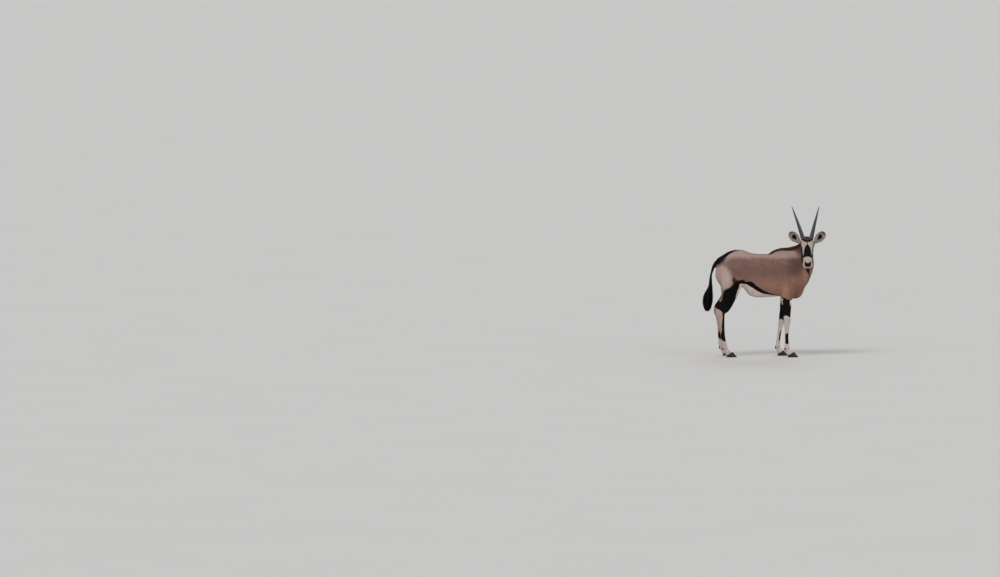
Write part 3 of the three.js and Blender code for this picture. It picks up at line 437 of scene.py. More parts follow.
class Flesh:
    """The whole body as one signed distance, with the finer forms of the face."""

    NECK_BLEND, LEG_BLEND, HEAD_BLEND, TAIL_BLEND = 70, 34, 22, 26
    LID = 3.4
    MOUTH_DEPTH, MOUTH_CORNER = 66, 292

    def lids(self, p: Array, d: Array) -> Array:
        """Adds a lidded swelling round each eye, cuts its slit and hollows the socket."""
        for side in BOTH_SIDES:
            eye = eye_middle(side)
            lid = EYE_RADIUS + self.LID
            d = smooth_min(d, Oval(eye, (lid * 1.12, lid * 0.94, lid), HEAD_AXES).distance(p), 7)
            slit = Oval(eye + ASIDE * side * (EYE_RADIUS + 4), (16.5, 9.5, 14), HEAD_AXES).distance(p)
            d = smooth_max(d, -slit, 2.5)
            corner = eye + ASIDE * side * (EYE_RADIUS - 2) + ALONG_FACE * 20 - TO_THROAT * 1
            tear = Oval(corner, (9, 2.6, 7), HEAD_AXES)
            d = smooth_max(d, -tear.distance(p), 2.5)
            d = np.maximum(d, EYE_RADIUS + 0.5 - np.linalg.norm(p - eye, axis=1))
        return d

    def nostrils(self, p: Array, d: Array) -> Array:
        """Cuts each nostril as a slanting slot that curls out and back."""
        for side in BOTH_SIDES:
            out = ASIDE * side
            slant = unit(ALONG_FACE + out * 0.75)
            flare = unit(out - slant * (out @ slant))
            axes = np.array([slant, TO_THROAT, flare])
            slot = Oval(on_head(371, 28, side * 24), (14, 5.5, 9), axes).distance(p)
            curl = Oval(on_head(360, 20, side * 35), (9, 3.6, 12), HEAD_AXES).distance(p)
            d = smooth_max(d, -smooth_min(slot, curl, 6), 3)
        return d

    def mouth_line(self, along: Array) -> Array:
        """The depth of the line between the lips, which rises towards its corners."""
        return self.MOUTH_DEPTH - 7 * ease(along, 330, 290)

    def mouth(self, p: Array, d: Array) -> Array:
        """Presses the line of the mouth in as a crease, 4.5 mm deep and thinning out at its corners."""
        along, depth, _ = to_head(p)
        near = (depth - self.mouth_line(along)) / 2.4
        return d + 4.5 * np.exp(-near**2) * ease(along, self.MOUTH_CORNER - 8, self.MOUTH_CORNER + 14)

    def head(self, p: Array) -> Array:
        """Signed distance to the head alone."""
        d = FACE.distance(p)
        near = d < 60
        if not near.any():
            return d
        q, e = p[near], d[near]
        for knob in HEAD_KNOBS:
            e = smooth_min(e, knob.distance(q), knob.blend)
        for form in (self.lids, self.nostrils, self.mouth):
            e = form(q, e)
        result = d.copy()
        result[near] = e
        return result

    def distance(self, p: Array) -> Array:
        """Signed distance to the skin of the whole body, negative inside."""
        d = smooth_min(TRUNK.distance(p), NECK.distance(p), self.NECK_BLEND)
        for muscle in TRUNK_MUSCLES:
            d = smooth_min(d, muscle.distance(p), muscle.blend)
        for leg in LEGS:
            own = np.maximum(leg.tube.distance(p), -leg.coronet(p) - 5)
            d = smooth_min(d, own, self.LEG_BLEND)
        d = smooth_min(d, DOCK.distance(p), self.TAIL_BLEND)
        return smooth_min(d, self.head(p), self.HEAD_BLEND)

    def regions(self, p: Array) -> Array:
        """The part of the body that each point belongs to, as the number of its Region."""
        distances = np.stack([tube.distance(p) for tube in TUBES])
        distances[Region.HEAD.value] -= 6
        return distances.argmin(0)


FLESH = Flesh()


def eye_distance(along: Array, depth: Array, aside: Array) -> Array:
    """Distance from the middle of the nearer eye, for points in the head's own frame."""
    away = np.stack([along - EYE_PLACE[0], depth - EYE_PLACE[1], np.abs(aside) - EYE_PLACE[2]], 1)
    return np.linalg.norm(away, axis=1)


def coat_depth(p: Array) -> Array:
    """How far the skin lies inside the outline: least on the feet and round the eyes, nose and lips."""
    along, depth, aside = to_head(p)
    head = FACE.distance(p)
    deep = mix(np.full(len(p), 1.2), 2.6, ease(p[:, 2], 380, 700))
    deep = mix(np.full(len(p), 1.2), deep, ease(head, 0, 60))
    eye = eye_distance(along, depth, aside)
    fine = np.maximum(1 - ease(eye, 26, 50), ease(along, 320, 345) * (head < 60))
    return mix(deep, 0.6, fine)


def skin_distance(p: Array) -> Array:
    """Signed distance to the bare skin under the coat."""
    return FLESH.distance(p) + coat_depth(p)


def slope(distance: Callable[[Array], Array], p: Array, step: float = 0.7) -> tuple[Array, Array]:
    """The distance at points and how it grows along x, y and z, by small steps."""
    here = distance(p)
    grows = [(distance(p + step * axis) - here) / step for axis in np.eye(3)]
    return here, np.stack(grows, 1)


def settle(distance: Callable[[Array], Array], p: Array, steps: int) -> Array:
    """Moves points on to the surface where the distance is nothing, by Newton's steps of at most 4 mm."""
    for _ in range(steps):
        here, grows = slope(distance, p)
        push = here / np.maximum((grows**2).sum(1), 0.2)
        move = -push[:, None] * grows
        length = np.linalg.norm(move, axis=1, keepdims=True)
        p = p + move * np.minimum(1, 4 / np.maximum(length, 1e-9))
    return p


# The skin's net

@dataclass
class Net:
    """A triangle mesh in millimetres."""

    points: Array
    faces: Array

    def areas(self) -> Array:
        """The area of each face, half the cross product of two of its sides."""
        a, b, c = (self.points[self.faces[:, k]] for k in range(3))
        return 0.5 * np.linalg.norm(np.cross(b - a, c - a), axis=1)

    def normals(self) -> Array:
        """The direction outwards at each point, the sum of its faces' cross products."""
        a, b, c = (self.points[self.faces[:, k]] for k in range(3))
        cross = np.cross(b - a, c - a)
        total = np.zeros_like(self.points)
        for k in range(3):
            for axis in range(3):
                total[:, axis] += np.bincount(self.faces[:, k], cross[:, axis], len(self.points))
        return unit(total)

    def relaxed(self, share: float = 0.5) -> Array:
        """The points moved a share of the way to the middle of their neighbours."""
        edges = np.vstack([self.faces[:, [0, 1]], self.faces[:, [1, 2]], self.faces[:, [2, 0]]])
        count = np.bincount(edges[:, 0], minlength=len(self.points))
        middle = np.stack([
            np.bincount(edges[:, 0], self.points[edges[:, 1], axis], len(self.points)) for axis in range(3)
        ], 1) / np.maximum(count, 1)[:, None]
        normal = self.normals()
        move = middle - self.points
        move -= (move * normal).sum(1, keepdims=True) * normal
        return self.points + share * move

    def joined(self, other: "Net") -> "Net":
        """This net and another one as one."""
        faces = np.vstack([self.faces, other.faces + len(self.points)])
        return Net(np.vstack([self.points, other.points]), faces)


def surface_net(values: Array, origin: Array, spacing: float) -> Net:
    """Draws a net over the surface where a grid of distances changes sign.

    Each cell that the surface crosses gets one point, the mean of the crossings on its edges, and each grid
    edge that crosses the surface gets a quad of the four cells round it, cut into two triangles.

    Args:
        values: Distances on the grid, negative inside.
        origin: The grid's lowest corner.
        spacing: The grid's step.

    Returns:
        The closed net, facing outwards.
    """
    cells = tuple(n - 1 for n in values.shape)
    total = np.zeros(cells + (3,), np.float32)
    count = np.zeros(cells, np.float32)
    for axis in range(3):
        order = (axis, (axis + 1) % 3, (axis + 2) % 3)
        turned = values.transpose(order)
        a, b = turned[:-1], turned[1:]
        cross = (a < 0) != (b < 0)
        t = np.where(cross, a / np.where(cross, a - b, 1), 0)
        back = tuple(np.argsort(order))
        for first in (0, 1):
            for second in (0, 1):
                part = (slice(None), slice(first, first + cross.shape[1] - 1),
                        slice(second, second + cross.shape[2] - 1))
                hit = cross[part].transpose(back)
                count += hit
                total[..., axis] += t[part].transpose(back)
                total[..., order[1]] += first * hit
                total[..., order[2]] += second * hit
    used = count > 0
    index = np.full(cells, -1)
    index[used] = np.arange(used.sum())
    corner = np.argwhere(used)
    points = origin + spacing * (corner + total[used] / count[used][:, None])
    faces = []
    for axis in range(3):
        order = (axis, (axis + 1) % 3, (axis + 2) % 3)
        turned = values.transpose(order)
        a, b = turned[:-1, 1:-1, 1:-1], turned[1:, 1:-1, 1:-1]
        cross = (a < 0) != (b < 0)
        own = index.transpose(order)
        quad = np.stack([own[:, :-1, :-1], own[:, 1:, :-1], own[:, 1:, 1:], own[:, :-1, 1:]], -1)[cross]
        quad = np.where((a < 0)[cross][:, None], quad, quad[:, ::-1])
        faces += [quad[:, [0, 1, 2]], quad[:, [0, 2, 3]]]
    return Net(points, np.vstack(faces))


def refined(net: Net, target: Callable[[Array], Array]) -> tuple[Net, Array]:
    """Splits the edges that are longer than they should be, without leaving a crack.

    A face with one marked edge is cut in two and a face with more is cut in four.

    Args:
        net: The net to split.
        target: The wanted edge length at points.

    Returns:
        The finer net, and which of its points are new.
    """
    total = len(net.points)
    pairs = np.sort(net.faces[:, [[0, 1], [1, 2], [2, 0]]].reshape(-1, 2), axis=1)
    keys, inverse = np.unique(pairs[:, 0] * total + pairs[:, 1], return_inverse=True)
    ends = np.stack([keys // total, keys % total], 1)
    middle = net.points[ends].mean(1)
    length = np.linalg.norm(net.points[ends[:, 0]] - net.points[ends[:, 1]], axis=1)
    marked = length > 1.35 * target(middle)
    inverse = inverse.reshape(-1, 3)
    while (busy := marked[inverse].sum(1) == 2).any():
        marked[inverse[busy]] = True
    number = np.full(len(keys), -1)
    number[marked] = total + np.arange(marked.sum())
    points = np.vstack([net.points, middle[marked]])
    hit = marked[inverse]
    faces = [net.faces[hit.sum(1) == 0]]
    full = hit.all(1)
    a, b, c = net.faces[full].T
    ab, bc, ca = number[inverse[full]].T
    faces += [np.stack(row, 1) for row in ((a, ab, ca), (ab, b, bc), (ca, bc, c), (ab, bc, ca))]
    for k in range(3):
        one = (hit.sum(1) == 1) & hit[:, k]
        a, b, c = (net.faces[one, (k + step) % 3] for step in range(3))
        m = number[inverse[one, k]]
        faces += [np.stack([a, m, c], 1), np.stack([m, b, c], 1)]
    return Net(points, np.vstack(faces)), np.arange(len(points)) >= total


class Skin:
    """The bare skin, one net over the whole body, finest at the eyes, nose and lips."""

    COARSE = 16
    LOW, HIGH = vec(-640, -385, -20), vec(560, 235, 1330)

    def edge(self, p: Array) -> Array:
        """The wanted edge length: 9.8 mm on the trunk, less on legs and head, 1.9 mm at eyes and nose."""
        along, depth, aside = to_head(p)
        head = FACE.distance(p)
        size = mix(np.full(len(p), 6.15), 9.8, ease(p[:, 2], 420, 720))
        size = np.where(TAIL.distance(p) < 40, 6.5, size)
        size = np.where(head < 30, 4.8, size)
        eye = eye_distance(along, depth, aside)
        fine = (eye < 31) | ((along > 326) & (head < 30))
        return np.where(fine, 1.9, size)

    def net(self) -> Net:
        """Builds the net: a grid of the field, closer near the surface, then split and settled."""
        coarse = self.COARSE
        shape = np.ceil((self.HIGH - self.LOW) / coarse).astype(int) + 1
        grid = np.stack(np.meshgrid(*[np.arange(n) for n in shape], indexing="ij"), -1).reshape(-1, 3)
        rough = skin_distance(self.LOW + grid * coarse).reshape(shape)
        spacing = coarse / 2
        double = [np.arange(2 * n - 1) / 2 for n in shape]
        for axis, places in enumerate(double):
            low = np.minimum(places.astype(int), shape[axis] - 2)
            share = (places - low).reshape([-1 if k == axis else 1 for k in range(3)])
            rough = mix(np.take(rough, low, axis), np.take(rough, low + 1, axis), share)
        near = np.argwhere(np.abs(rough) < 1.6 * coarse)
        rough[tuple(near.T)] = skin_distance(self.LOW + near * spacing)
        net = surface_net(rough, self.LOW, spacing)
        net.points = settle(skin_distance, net.points, 1)
        for _ in range(3):
            net, _ = refined(net, self.edge)
            net.points = settle(skin_distance, net.relaxed(), 1)
        net.points = settle(skin_distance, net.relaxed(0.3), 2)
        return net


# Colours and markings

def photo_colour(red: int, green: int, blue: int, lift: float = 1.35) -> Array:
    """A colour of the shaded photo as linear light, lifted to how it looks in even light."""
    share = vec(red, green, blue) / 255
    linear = np.where(share <= 0.04045, share / 12.92, ((share + 0.055) / 1.055) ** 2.4)
    return np.minimum(linear * lift, 0.85)


@dataclass(frozen=True)
class Palette:
    """The coat's colours."""

    flank: Array = field(default_factory=lambda: photo_colour(118, 90, 82))
    # Painted light: a lighter flank colour, for the lower flank lit from below by the ground and for the
    # chest's front edge lit from behind.
    lit_flank: Array = field(default_factory=lambda: photo_colour(160, 119, 104))
    # Partly the back's own greyer coat, partly painted sunlight on the top of the back.
    back: Array = field(default_factory=lambda: photo_colour(168, 143, 134))
    croup: Array = field(default_factory=lambda: photo_colour(124, 97, 90))
    neck: Array = field(default_factory=lambda: photo_colour(90, 57, 50))
    rump: Array = field(default_factory=lambda: photo_colour(178, 156, 145, 1.42))
    stifle: Array = field(default_factory=lambda: photo_colour(58, 42, 40))
    chest: Array = field(default_factory=lambda: photo_colour(136, 96, 84))
    rust: Array = field(default_factory=lambda: photo_colour(80, 52, 42))
    mane: Array = field(default_factory=lambda: photo_colour(84, 55, 47))
    cheek: Array = field(default_factory=lambda: photo_colour(140, 118, 105))
    throat: Array = field(default_factory=lambda: photo_colour(120, 98, 88, 1.4))
    hock: Array = field(default_factory=lambda: photo_colour(156, 133, 121, 1.75))
    lip: Array = field(default_factory=lambda: photo_colour(150, 122, 112))
    ear_back: Array = field(default_factory=lambda: photo_colour(150, 128, 112))
    white: Array = field(default_factory=lambda: photo_colour(168, 154, 146, 1.75))
    black: Array = field(default_factory=lambda: photo_colour(9, 8, 9))


PALETTE = Palette()


@dataclass
class Markings:
    """What each point of the coat wears: a soft tone, and signed distances to the white and black patches."""

    tone: Array
    white: Array
    black: Array
    shade: Array

    def at(self, index: Array) -> "Markings":
        """The markings of chosen points."""
        return Markings(self.tone[index], self.white[index], self.black[index], self.shade[index])


def mottle(p: Array, size: float) -> Array:
    """Soft patches from -1 to 1, a product of three tilted waves."""
    q = p / size
    return (np.sin(q @ vec(1.3, 0.4, 0.9) + 1.1) * np.sin(q @ vec(-0.5, 1.2, 0.8) + 2.3)
            + 0.6 * np.sin(q @ vec(2.1, -1.4, 1.7)) * np.sin(q @ vec(1.1, 2.3, -1.9) + 0.7)) / 1.6


class Pattern:
    """Where the gemsbok's colours lie, on the body and on the face."""

    FLANK = [(-322, 862, 3), (-312, 838, 14), (-280, 820, 20), (-232, 808, 13), (-185, 806, 15),
             (-136, 794, 29), (-89, 757, 22), (-42, 726, 21), (4, 703, 17), (75, 682, 9), (140, 664, 6),
             (200, 646, 8), (236, 620, 18)]
    BELLY = [(-260, 812), (-218, 806), (-185, 804), (-136, 790), (-89, 752), (-42, 722), (4, 700), (75, 681),
             (140, 662), (200, 644), (250, 634), (300, 560)]
    STIFLE = [(-328, 866, 5), (-321, 838, 19), (-300, 812, 33)]
    RUMP_FRONT = [(540, -452), (600, -442), (640, -438), (700, -436), (723, -428), (738, -400), (764, -352),
                  (815, -336), (862, -334), (932, -354), (990, -405), (1030, -440)]
    THIGH_TOP = [(-540, 598), (-462, 602), (-450, 624), (-444, 660), (-438, 706), (-428, 726), (-405, 742),
                 (-352, 770),
                 (-333, 800), (-300, 822), (-262, 838)]
    CROUP_DROP = [(-540, 70), (-459, 54), (-414, 42), (-370, 30), (-325, 17), (-260, 2), (-240, -10)]
    KNEE_LINE = [(205, 440), (242, 455), (290, 427)]
    HIND_BLAZE = [(172, 80), (188, 140), (209, 168), (240, 162), (262, 130), (290, 104), (348, 90), (392, 70),
                  (437, 52), (459, 56)]
    HOCK_LINE = [(-520, 532), (-465, 505), (-420, 449)]
    FACE_RIM = [(-20, 78), (20, 74), (56, 58), (92, 38), (150, 44), (205, 46), (240, 38), (262, 22)]
    CHEEK_STRIPE = [(48, 50, 62, 9), (60, 46, 63, 13), (92, 36, 64, 17), (120, 36, 64, 18), (160, 38, 62, 18),
                    (205, 38, 58, 17), (240, 28, 54, 14), (260, 14, 46, 11)]
    JAW_STRIPE = [(46, 74, 4), (72, 98, 5), (104, 122, 7), (134, 140, 9), (150, 152, 12)]
    CHIN_STRIPE = [(330, 96, 0, 5), (262, 92, 0, 9), (200, 116, 0, 12), (150, 146, 0, 15), (80, 152, 0, 18)]
    LIP_DEPTH = 67
    CROWN = [(28, 55, 8), (40, 44, 10), (57, 24, 11), (64, 0, 12)]
    BLAZE = [(66, 0, 4), (110, 0, 4)]
    NOSE_PATCH = [(103, 0.5), (112, 12), (125, 21), (145, 30), (175, 37), (220, 41), (262, 43)]

    def face(self, p: Array, tone: Array, white: Array, black: Array) -> tuple[Array, Array, Array]:
        """Draws the face: white in front of the cheek stripes and round the muzzle, black over the nose."""
        along, depth, aside = to_head(p)
        side = np.abs(aside)
        flat = np.stack([along, side], 1)
        off = np.maximum((FACE.distance(p) - 16) * 3, -40)
        solid = np.stack([along, depth, side], 1)
        tone = mix(tone, PALETTE.cheek, ease(-FACE.distance(p), -26, 0)[:, None])
        tone = mix(tone, PALETTE.throat, (ease(depth, 96, 124) * (off < 0) * ease(along, 20, 70))[:, None])
        crown = ease(62 - along, 0, 20) * ease(40 - side, 0, 14) * ease(44 - depth, 0, 20) * (off < 0)
        tone = mix(tone, PALETTE.rust, crown[:, None])
        lip = ease(np.abs(depth - self.LIP_DEPTH), 9, 4) * ease(along, 340, 358) * (off < 0)
        tone = mix(tone, PALETTE.lip, lip[:, None])
        front = depth - along_curve(along, self.FACE_RIM)
        face_white = np.where(along > 262, 262 - along, front)
        mouth = np.maximum(np.abs(depth - self.LIP_DEPTH) - 4, 352 - along)
        crown_gap = np.where(depth < 60, np.minimum(46 - side, 60 - along), -40.0)
        face_white = np.max([face_white, -mouth, crown_gap, 28 - along], 0)
        white = np.minimum(white, np.maximum(face_white, off))
        half = along_curve(along, self.NOSE_PATCH)
        patch = np.maximum(np.maximum(side - half, 103 - along), along - 267)
        nostril_top = 344 - 20 * ease(side, 8, 30)
        pad = np.max([nostril_top - along, side - mix(39, 20, ease(depth, 6, 34)), depth - 33], 0)
        parting = np.maximum(np.abs(depth - FLESH.mouth_line(along)) - 0.9, FLESH.MOUTH_CORNER + 4 - along)
        pieces = [
            np.maximum(patch, depth - 34), pad, parting,
            np.maximum(line_distance(flat, self.CROWN), depth - 40),
            np.maximum(line_distance(flat, self.BLAZE), depth - 30),
            line_distance(solid, self.CHEEK_STRIPE),
            np.maximum(line_distance(np.stack([along, depth], 1), self.JAW_STRIPE), 6 - side),
            line_distance(solid, self.CHIN_STRIPE),
        ]
        lid = np.linalg.norm(solid - vec(*EYE_PLACE), axis=1) - EYE_RADIUS - 7
        return tone, white, np.minimum(black, np.maximum(np.minimum(np.min(pieces, 0), lid), off))

    def legs(self, p: Array, tone: Array, white: Array, black: Array) -> tuple[Array, Array, Array]:
        """Draws the legs: black above, white below, and a black blaze down the front of each cannon."""
        for leg in LEGS:
            near = leg.tube.distance(p) < 46
            q = p[near]
            seen = leg.tube.local(q)
            z, x = q[:, 2], q[:, 0] + leg.swing(q[:, 2])
            turn = np.degrees(np.arctan2(np.abs(seen["left"]), seen["over"]))
            rim = seen["sizes"][:, 0]
            inner = ease(-leg.side * (q[:, 1] - leg.side * leg.stance), 4, 26)
            if leg.fore:
                low = along_curve(x, self.KNEE_LINE) - (54 if leg.side > 0 else 0)
                dark = np.maximum(z - 632 + 0.25 * np.abs(x - 250) + 26 * inner, low - z)
                top, bottom = (272, 165) if leg.side > 0 else (262, 143)
                wide = mix(112 if leg.side > 0 else 142, 62, inner)
                wide = wide * ease(z, bottom - 22, bottom + 12) * ease(z, top + 22, top - 22)
                cloth = np.maximum(np.radians(turn - wide) * rim, np.maximum(bottom - z, z - top))
                ahead = np.maximum(np.radians(turn - 34) * rim, np.abs(z - 590) - 32)
                behind = np.maximum(np.radians(148 - turn) * rim, np.abs(z - 606) - 36)
                patches = np.minimum(ahead, behind)
                dark = np.maximum(dark, -patches)
                pale = np.minimum(z - 400, patches)
            else:
                dark = np.maximum(z - along_curve(x, self.THIGH_TOP) + 130 * inner * ease(z, 640, 700),
                                  along_curve(x, self.HOCK_LINE) - z)
                wide = along_curve(z, self.HIND_BLAZE) - 34 * inner
                cloth = np.maximum(np.radians(turn - wide) * rim, np.maximum(172 - z, z - 480))
                swing = np.radians(turn - 28 * ease(z, 572, 690)) * rim
                seam = np.maximum(swing, np.maximum(580 - z, z - 800))
                dark = np.maximum(dark, -seam)
                pale = np.minimum(z - 182, seam)
                tone[near] = mix(tone[near], PALETTE.hock, ease(z, 560, 500)[:, None])
            white[near] = np.minimum(white[near], pale)
            black[near] = np.minimum(black[near], np.minimum(dark, cloth))
        return tone, white, black

    def body(self, p: Array) -> tuple[Array, Array, Array]:
        """Draws the trunk, neck and tail."""
        x, y, z = p.T
        side = np.abs(y)
        tone = np.tile(PALETTE.flank, (len(p), 1))
        # The lower flank is painted lighter: painted light bounced up from the ground.
        tone = mix(tone, PALETTE.lit_flank, ease(z, 930, 740)[:, None])
        # Grey mottles on the upper flank, and the top of the back painted lighter: partly its own greyer
        # coat, partly painted sunlight from above.
        frost = 0.26 * ease(mottle(p + 90, 27) + 0.7 * mottle(p + 30, 11), -0.4, 1) * ease(z, 975, 1040)
        tone = mix(tone, PALETTE.back, np.maximum(frost, 0.95 * ease(z, 1042, 1100))[:, None])
        croup_share = ease(x, -180, -300) * ease(z, 900, 1000) * ease(z, 1110, 1040)
        tone = mix(tone, PALETTE.croup, croup_share[:, None])
        neck = NECK.local(p)
        on_neck = ease(TRUNK.distance(p) - NECK.distance(p), -30, 50)
        tone = mix(tone, PALETTE.neck, (0.85 * on_neck)[:, None])
        under = ease(-neck["over"], 20, 80) * on_neck * ease(neck["share"], 0.5, 0.8)
        tone = mix(tone, PALETTE.throat, (0.35 * under)[:, None])
        shoulder = ease(x, 190, 350) * ease(z, 860, 980) * ease(z, 1090, 1030)
        tone = mix(tone, PALETTE.neck, (0.5 * shoulder)[:, None])
        tone = mix(tone, PALETTE.chest, (ease(x, 200, 320) * ease(z, 900, 780))[:, None])
        # The chest's front edge is painted lighter: painted rim light.
        rim_lit_share = 0.85 * ease(x - 60 * ease(z, 620, 760), 315, 390) * ease(z, 990, 930)
        tone = mix(tone, PALETTE.lit_flank, rim_lit_share[:, None])
        seat = along_curve(z, self.RUMP_FRONT) - x
        rump = ease(seat, -26, 52) * ease(z, 1034, 962)
        rump = np.maximum(rump, ease(side, 74, 50) * ease(x, -290, -330) * ease(z, 900, 860))
        tone = mix(tone, PALETTE.rump, rump[:, None])
        crest = MANE.local(p)
        ridge = np.linalg.norm(np.stack([crest["left"], crest["over"] * 0.5], 1), axis=1)
        ridge = ease(ridge, 30, 14) * ease(-crest["over"], 40, 24) * ease(MANE.distance(p), 40, 20)
        tone = mix(tone, PALETTE.mane, ridge[:, None])
        belly = z - along_curve(x, self.BELLY)
        belly = np.where(x < -250, np.maximum(z - 806, side - 74), belly)
        belly = np.maximum(belly, z - 830)
        ribbon = line_distance(p[:, [0, 2]], self.FLANK)
        knee = line_distance(p[:, [0, 2]], self.STIFLE)
        ribbon = np.maximum(ribbon, np.maximum(92 - side, np.minimum(-262 - x, 6 - knee)))
        back = TRUNK.local(p)
        drop = back["sizes"][:, 1] - back["over"]
        croup = np.maximum(drop - along_curve(x, self.CROUP_DROP), np.maximum(x + 258, 985 - z))
        smoke = ease(drop - along_curve(x, self.CROUP_DROP), 90, 12)
        smoke = smoke * ease(x, -210, -300) * ease(z, 980, 1030)
        smoke *= ease(x, -440, -390)
        tone = mix(tone, PALETTE.back, 0.8 * smoke[:, None])
        dusk = ease(drop - along_curve(x, self.CROUP_DROP), 46, 6) * ease(x, -385, -430) * ease(z, 940, 975)
        tone = mix(tone, PALETTE.stifle, 0.6 * dusk[:, None])
        tone = mix(tone, PALETTE.stifle, (ease(knee, 9, -3) * (side > 60))[:, None])
        tail = DOCK.distance(p) - 7
        hanging = np.where(x < -478, tail, 60.0)
        aside = 68 * ease(neck["share"], 0.22, 0.42) * ease(neck["share"], 1, 0.7)
        angle = np.abs(neck["left"] + aside)
        throat = np.maximum(angle - mix(6, 19, ease(neck["share"], 0.32, 0.46)), neck["over"] + 20)
        throat = np.maximum(throat, (0.22 - neck["share"]) * 300)
        throat = np.maximum(throat, NECK.distance(p) - 30)
        breast = line_distance(p, [(440, 0, 870, 8), (436, 0, 800, 8), (398, 0, 700, 9), (350, 0, 640, 10)])
        breast = np.maximum(breast, -40)
        brisket = np.min([
            line_distance(p, [(350, 0, 640, 10), (300, s * 50, 628, 12), (262, s * 84, 610, 18)])
            for s in BOTH_SIDES], 0)
        black = np.min([ribbon, croup, hanging, throat, breast, brisket], 0)
        return tone, belly, black

    def read(self, p: Array, shade: float = 1.0) -> Markings:
        """All the markings at points."""
        tone, white, black = self.body(p)
        tone, white, black = self.legs(p, tone, white, black)
        tone, white, black = self.face(p, tone, white, black)
        soft = 1 + 0.07 * mottle(p, 46) + 0.05 * mottle(p + 400, 17)
        along, _, aside = to_head(p)
        # The face is painted darker, except on the muzzle's sides: painted shade.
        face = ease(FACE.distance(p), 24, 4) * (1 - ease(along, 300, 345) * ease(np.abs(aside), 20, 44))
        low = ease(p[:, 2], 400, 300) * (p[:, 0] < 0)
        # The belly's white is painted lighter: painted light bounced up from the ground.
        under = (white < 0) * ease(p[:, 2], 560, 600) * (p[:, 0] > -300) * ease(p[:, 2], 900, 840)
        thigh = ease(p[:, 2], 800, 700) * ease(p[:, 2], 560, 620) * ease(p[:, 0], -300, -360)
        soft *= (1 - 0.27 * face) * (1 - 0.14 * low) * (1 + 0.5 * under) * (1 - 0.3 * thigh)
        return Markings(tone, np.clip(white, -40, 40), np.clip(black, -40, 40), shade * soft)


# Materials

class Nodes:
    """A short way to lay out a material's nodes."""

    def __init__(self, name: str, roughness: float, specular: float = 0.5, **sockets: float) -> None:
        """Makes the material with its main shader.

        Args:
            name: The material's name.
            roughness: The shader's roughness.
            specular: The shader's specular level.
            sockets: Other constants of the shader, such as Sheen_Weight.
        """
        self.material = bpy.data.materials.new(name)
        self.material.use_nodes = True
        self.tree = self.material.node_tree
        self.shader = self.tree.nodes["Principled BSDF"]
        self.shader.inputs["Roughness"].default_value = roughness
        self.shader.inputs["Specular IOR Level"].default_value = specular
        for socket, value in sockets.items():
            self.shader.inputs[socket.replace("_", " ")].default_value = value

    def add(self, kind: str, **settings: object) -> bpy.types.Node:
        """A new node with its settings."""
        node = self.tree.nodes.new("ShaderNode" + kind)
        for key, value in settings.items():
            setattr(node, key, value)
        return node

    def link(self, source: bpy.types.NodeSocket, target: bpy.types.NodeSocket) -> None:
        """Joins two sockets."""
        self.tree.links.new(source, target)

    def attribute(self, name: str, output: str = "Fac") -> bpy.types.NodeSocket:
        """A value that each point of the mesh carries."""
        return self.add("Attribute", attribute_name=name).outputs[output]

    def place(self, scale: tuple[float, float, float] = (1, 1, 1)) -> bpy.types.NodeSocket:
        """The object's own coordinates, stretched."""
        coordinates = self.add("TexCoord").outputs["Object"]
        mapping = self.add("Mapping")
        mapping.inputs["Scale"].default_value = scale
        self.link(coordinates, mapping.inputs["Vector"])
        return mapping.outputs["Vector"]

    def noise(self, vector: bpy.types.NodeSocket, scale: float, detail: float = 3) -> bpy.types.NodeSocket:
        """Noise from 0 to 1."""
        node = self.add("TexNoise")
        node.inputs["Scale"].default_value = scale
        node.inputs["Detail"].default_value = detail
        self.link(vector, node.inputs["Vector"])
        return node.outputs["Fac"]

    def sums(self, operation: str, a: object, b: object) -> bpy.types.NodeSocket:
        """A sum on two sockets or numbers."""
        node = self.add("Math", operation=operation)
        for socket, value in zip(node.inputs, (a, b)):
            if isinstance(value, (int, float)):
                socket.default_value = value
            else:
                self.link(value, socket)
        return node.outputs[0]

    def span(
        self, value: bpy.types.NodeSocket, low: float, high: float, start: float, end: float
    ) -> bpy.types.NodeSocket:
        """The value carried from one range smoothly to another."""
        node = self.add("MapRange", interpolation_type="SMOOTHSTEP")
        self.link(value, node.inputs["Value"])
        for socket, number in zip(("From Min", "From Max", "To Min", "To Max"), (low, high, start, end)):
            node.inputs[socket].default_value = number
        return node.outputs["Result"]

    def blend(self, share: object, a: object, b: object, mode: str = "MIX") -> bpy.types.NodeSocket:
        """Two colours mixed by a share."""
        node = self.add("Mix", data_type="RGBA", blend_type=mode)
        for socket, value in ((node.inputs["Factor"], share), (node.inputs["A"], a), (node.inputs["B"], b)):
            if isinstance(value, bpy.types.NodeSocket):
                self.link(value, socket)
            else:
                socket.default_value = value
        return node.outputs["Result"]

    def scaled(self, colour: bpy.types.NodeSocket, share: bpy.types.NodeSocket) -> bpy.types.NodeSocket:
        """A colour made lighter or darker by a number."""
        node = self.add("VectorMath", operation="SCALE")
        self.link(colour, node.inputs[0])
        self.link(share, node.inputs["Scale"])
        return node.outputs["Vector"]

    def bump(self, height: bpy.types.NodeSocket, distance: float, strength: float = 1.0) -> None:
        """Small relief on the shader."""
        node = self.add("Bump")
        node.inputs["Distance"].default_value = distance
        node.inputs["Strength"].default_value = strength
        self.link(height, node.inputs["Height"])
        self.link(node.outputs["Normal"], self.shader.inputs["Normal"])

    def colour(self, socket: bpy.types.NodeSocket) -> bpy.types.Material:
        """Paints the shader and gives the material."""
        self.link(socket, self.shader.inputs["Base Color"])
        return self.material


def rgba(colour: Array) -> tuple[float, float, float, float]:
    """A colour with full cover."""
    return (*map(float, colour), 1.0)


